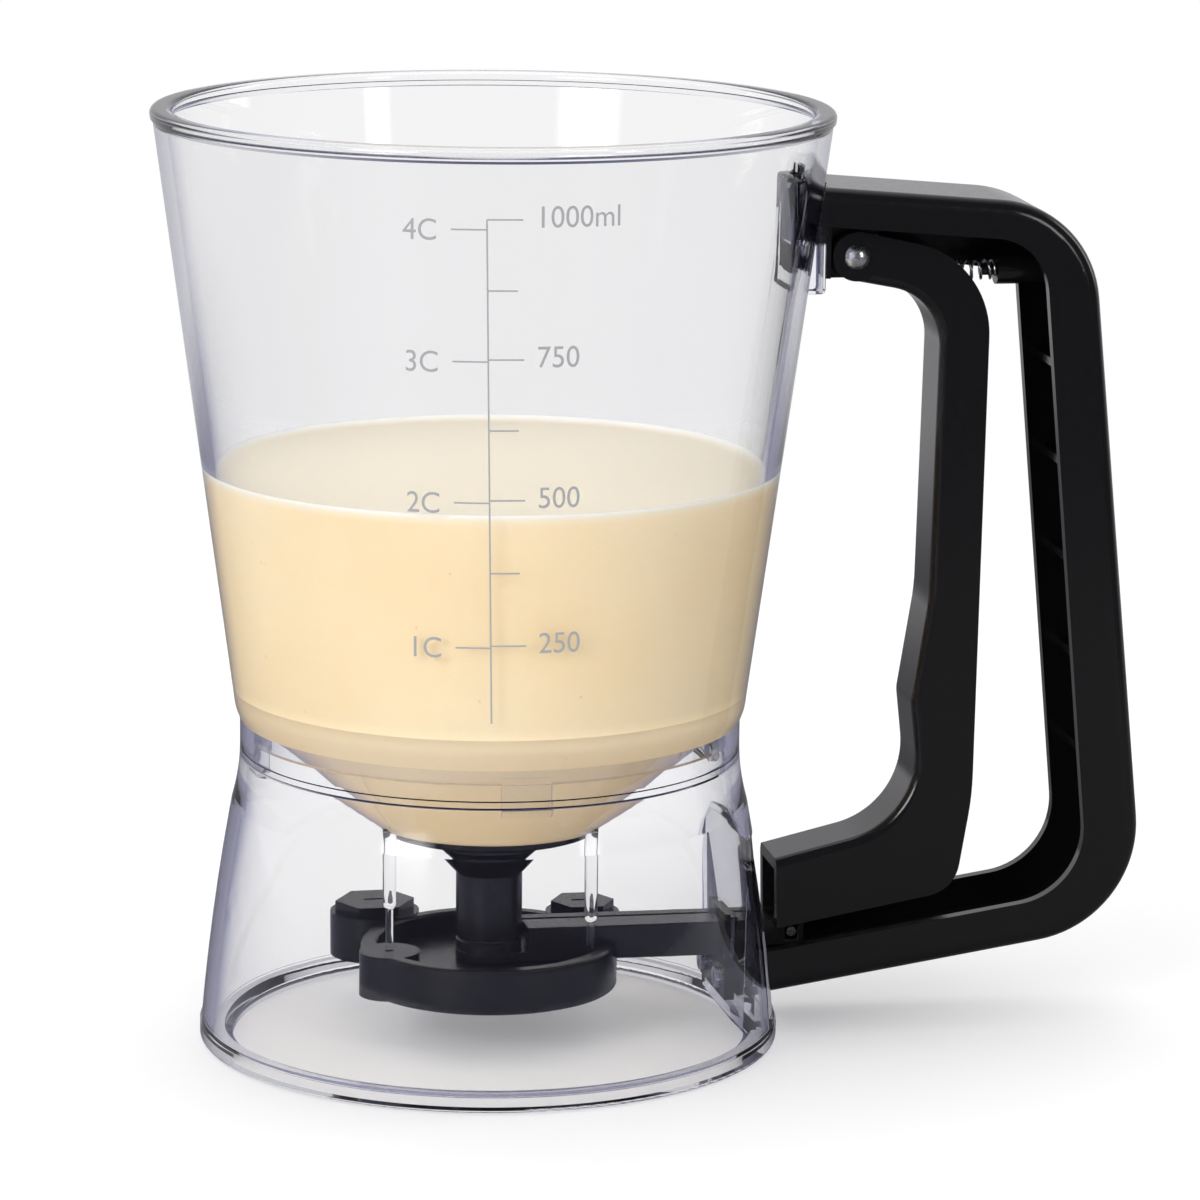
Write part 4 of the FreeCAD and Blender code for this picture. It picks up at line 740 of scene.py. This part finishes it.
# Studio: pale floor that fades into a white room, soft boxes and a dim room for reflections
studioSet = {
    "floorSize": 1.6,
    "floorZ": -0.0003,
    "fadeFrom": 0.45,
    "fadeTo": 0.75,
    "floor": (0.86, 0.86, 0.865, 1),
    # painted shade: darker and violet copies of the floor's colour, for paths that have mirrored
    "floorMirrored": (0.30, 0.30, 0.31, 1),
    "floorInside": (0.34, 0.34, 0.50, 1),
    "floorLift": 0.13,
    "floorRough": 0.6,
    "floorGloss": 0.15,
    "seen": (1.0, 1.0, 1.0, 1),
    "glow": 0.92,
    "frontMirror": (0.075, 0.075, 0.085, 1),
    "frontInside": (0.08, 0.08, 0.17, 1),
    "rearMirror": (0.66, 0.66, 0.68, 1),
    "rearFrom": -0.25,
    "rearTo": 0.75,
}


def seenByEye(tree, path):
    return reckon(tree, "MAXIMUM", path.outputs["Is Camera Ray"], path.outputs["Is Transmission Ray"])


def floorMaterial(s):
    mat, tree, shader = newMaterial("paleFloor")
    path = addNode(tree, "ShaderNodeLightPath")
    # painted shade: the floor is darker once a path has mirrored, and violet if it has also been inside clear
    # plastic
    mirrored = mixColours(tree, path.outputs["Transmission Depth"], s["floorMirrored"], s["floorInside"])
    shade = mixColours(tree, path.outputs["Glossy Depth"], s["floor"], mirrored)
    tree.links.new(shade, shader.inputs["Base Color"])
    lift = reckon(tree, "MULTIPLY", seenByEye(tree, path), s["floorLift"])     # the sweep's white, for the eye only
    tree.links.new(lift, shader.inputs["Emission Strength"])
    shader.inputs["Roughness"].default_value = s["floorRough"]
    shader.inputs["Specular IOR Level"].default_value = s["floorGloss"]
    spot = addNode(tree, "ShaderNodeTexCoord")
    far = addNode(tree, "ShaderNodeVectorMath", operation="LENGTH")
    tree.links.new(spot.outputs["Object"], far.inputs[0])
    fade = mapRange(tree, far.outputs["Value"], s["fadeFrom"], s["fadeTo"], smooth=True)
    gone = addNode(tree, "ShaderNodeBsdfTransparent")
    mix = mixShaders(tree, fade, shader.outputs["BSDF"], gone.outputs["BSDF"])
    tree.links.new(mix, tree.nodes["Material Output"].inputs["Surface"])
    return mat


def makeFloor(s):
    size, z = s["floorSize"], s["floorZ"]
    corners = [(-size, -size, z), (size, -size, z), (size, size, z), (-size, size, z)]
    floor = meshPiece("floor", corners, [(0, 1, 2, 3)])
    floor.data.materials.append(floorMaterial(s))


def makeWorld(s):
    world = bpy.data.worlds.new("studio")
    world.use_nodes = True
    bpy.context.scene.world = world
    tree = world.node_tree
    tree.nodes.clear()
    out = addNode(tree, "ShaderNodeOutputWorld")
    path = addNode(tree, "ShaderNodeLightPath")
    seen = addNode(tree, "ShaderNodeBackground", Color=s["seen"], Strength=1.0)
    glow = addNode(tree, "ShaderNodeBackground", Color=(1, 1, 1, 1), Strength=s["glow"])
    spot = addNode(tree, "ShaderNodeTexCoord")
    ways = addNode(tree, "ShaderNodeSeparateXYZ")
    tree.links.new(spot.outputs["Generated"], ways.inputs["Vector"])
    # what gloss mirrors: a dim room in front, violet through clear plastic, and the pale backdrop behind
    depth = mapRange(tree, ways.outputs["Y"], s["rearFrom"], s["rearTo"], smooth=True)
    front = mixColours(tree, path.outputs["Transmission Depth"], s["frontMirror"], s["frontInside"])
    mirror = addNode(tree, "ShaderNodeBackground", Strength=1.0)
    tree.links.new(mixColours(tree, depth, front, s["rearMirror"]), mirror.inputs["Color"])
    first = mixShaders(tree, seenByEye(tree, path), glow.outputs["Background"], seen.outputs["Background"])
    mirrored = reckon(tree, "MULTIPLY", path.outputs["Glossy Depth"], 1.0, clamp=True)     # once a path has mirrored
    second = mixShaders(tree, mirrored, first, mirror.outputs["Background"])
    tree.links.new(second, out.inputs["Surface"])


softBoxes = {
    "key": {"place": (-0.95, -0.95, 0.52), "aim": (0.0, 0.0, 0.10), "size": (0.7, 0.9), "power": 18.0},
    "fill": {"place": (0.75, -1.05, 0.52), "aim": (0.0, 0.0, 0.10), "size": (0.3, 0.9), "power": 4.6},
    "edge": {"place": (1.0, 0.15, 0.5), "aim": (0.05, 0.0, 0.10), "size": (0.3, 0.9), "power": 2.7},
    "top": {"place": (0.0, 0.30, 1.15), "aim": (0.0, 0.0, 0.10), "size": (0.9, 0.6), "power": 2.4},
}
softEdge = 0.3      # share of a soft box's width over which it dims towards each side


def makeSoftBox(name, b):
    light = bpy.data.lights.new(name, "AREA")
    light.shape = "RECTANGLE"
    light.size, light.size_y = b["size"]
    light.energy = b["power"]
    # dimmer towards its sides, so that its reflection has soft edges
    light.use_nodes = True
    tree = light.node_tree
    spot = addNode(tree, "ShaderNodeNewGeometry")
    sides = addNode(tree, "ShaderNodeSeparateXYZ")
    tree.links.new(spot.outputs["Parametric"], sides.inputs["Vector"])
    glow = None
    for axis in ("X", "Y"):
        for start, end in ((0.0, softEdge), (1.0, 1.0 - softEdge)):
            fade = mapRange(tree, sides.outputs[axis], start, end, smooth=True)
            glow = fade if glow is None else reckon(tree, "MULTIPLY", glow, fade)
    tree.links.new(glow, tree.nodes["Emission"].inputs["Strength"])
    lamp = linkPiece(name, light)
    lamp.location = b["place"]
    lamp.rotation_euler = (Vector(b["aim"]) - Vector(b["place"])).to_track_quat("-Z", "Y").to_euler()
    lamp.visible_camera = False
    lamp.visible_transmission = False


makeFloor(studioSet)
makeWorld(studioSet)
for name, box in softBoxes.items():
    makeSoftBox(name + "SoftBox", box)
bpy.context.scene.view_settings.view_transform = "Standard"
print("studio lit")
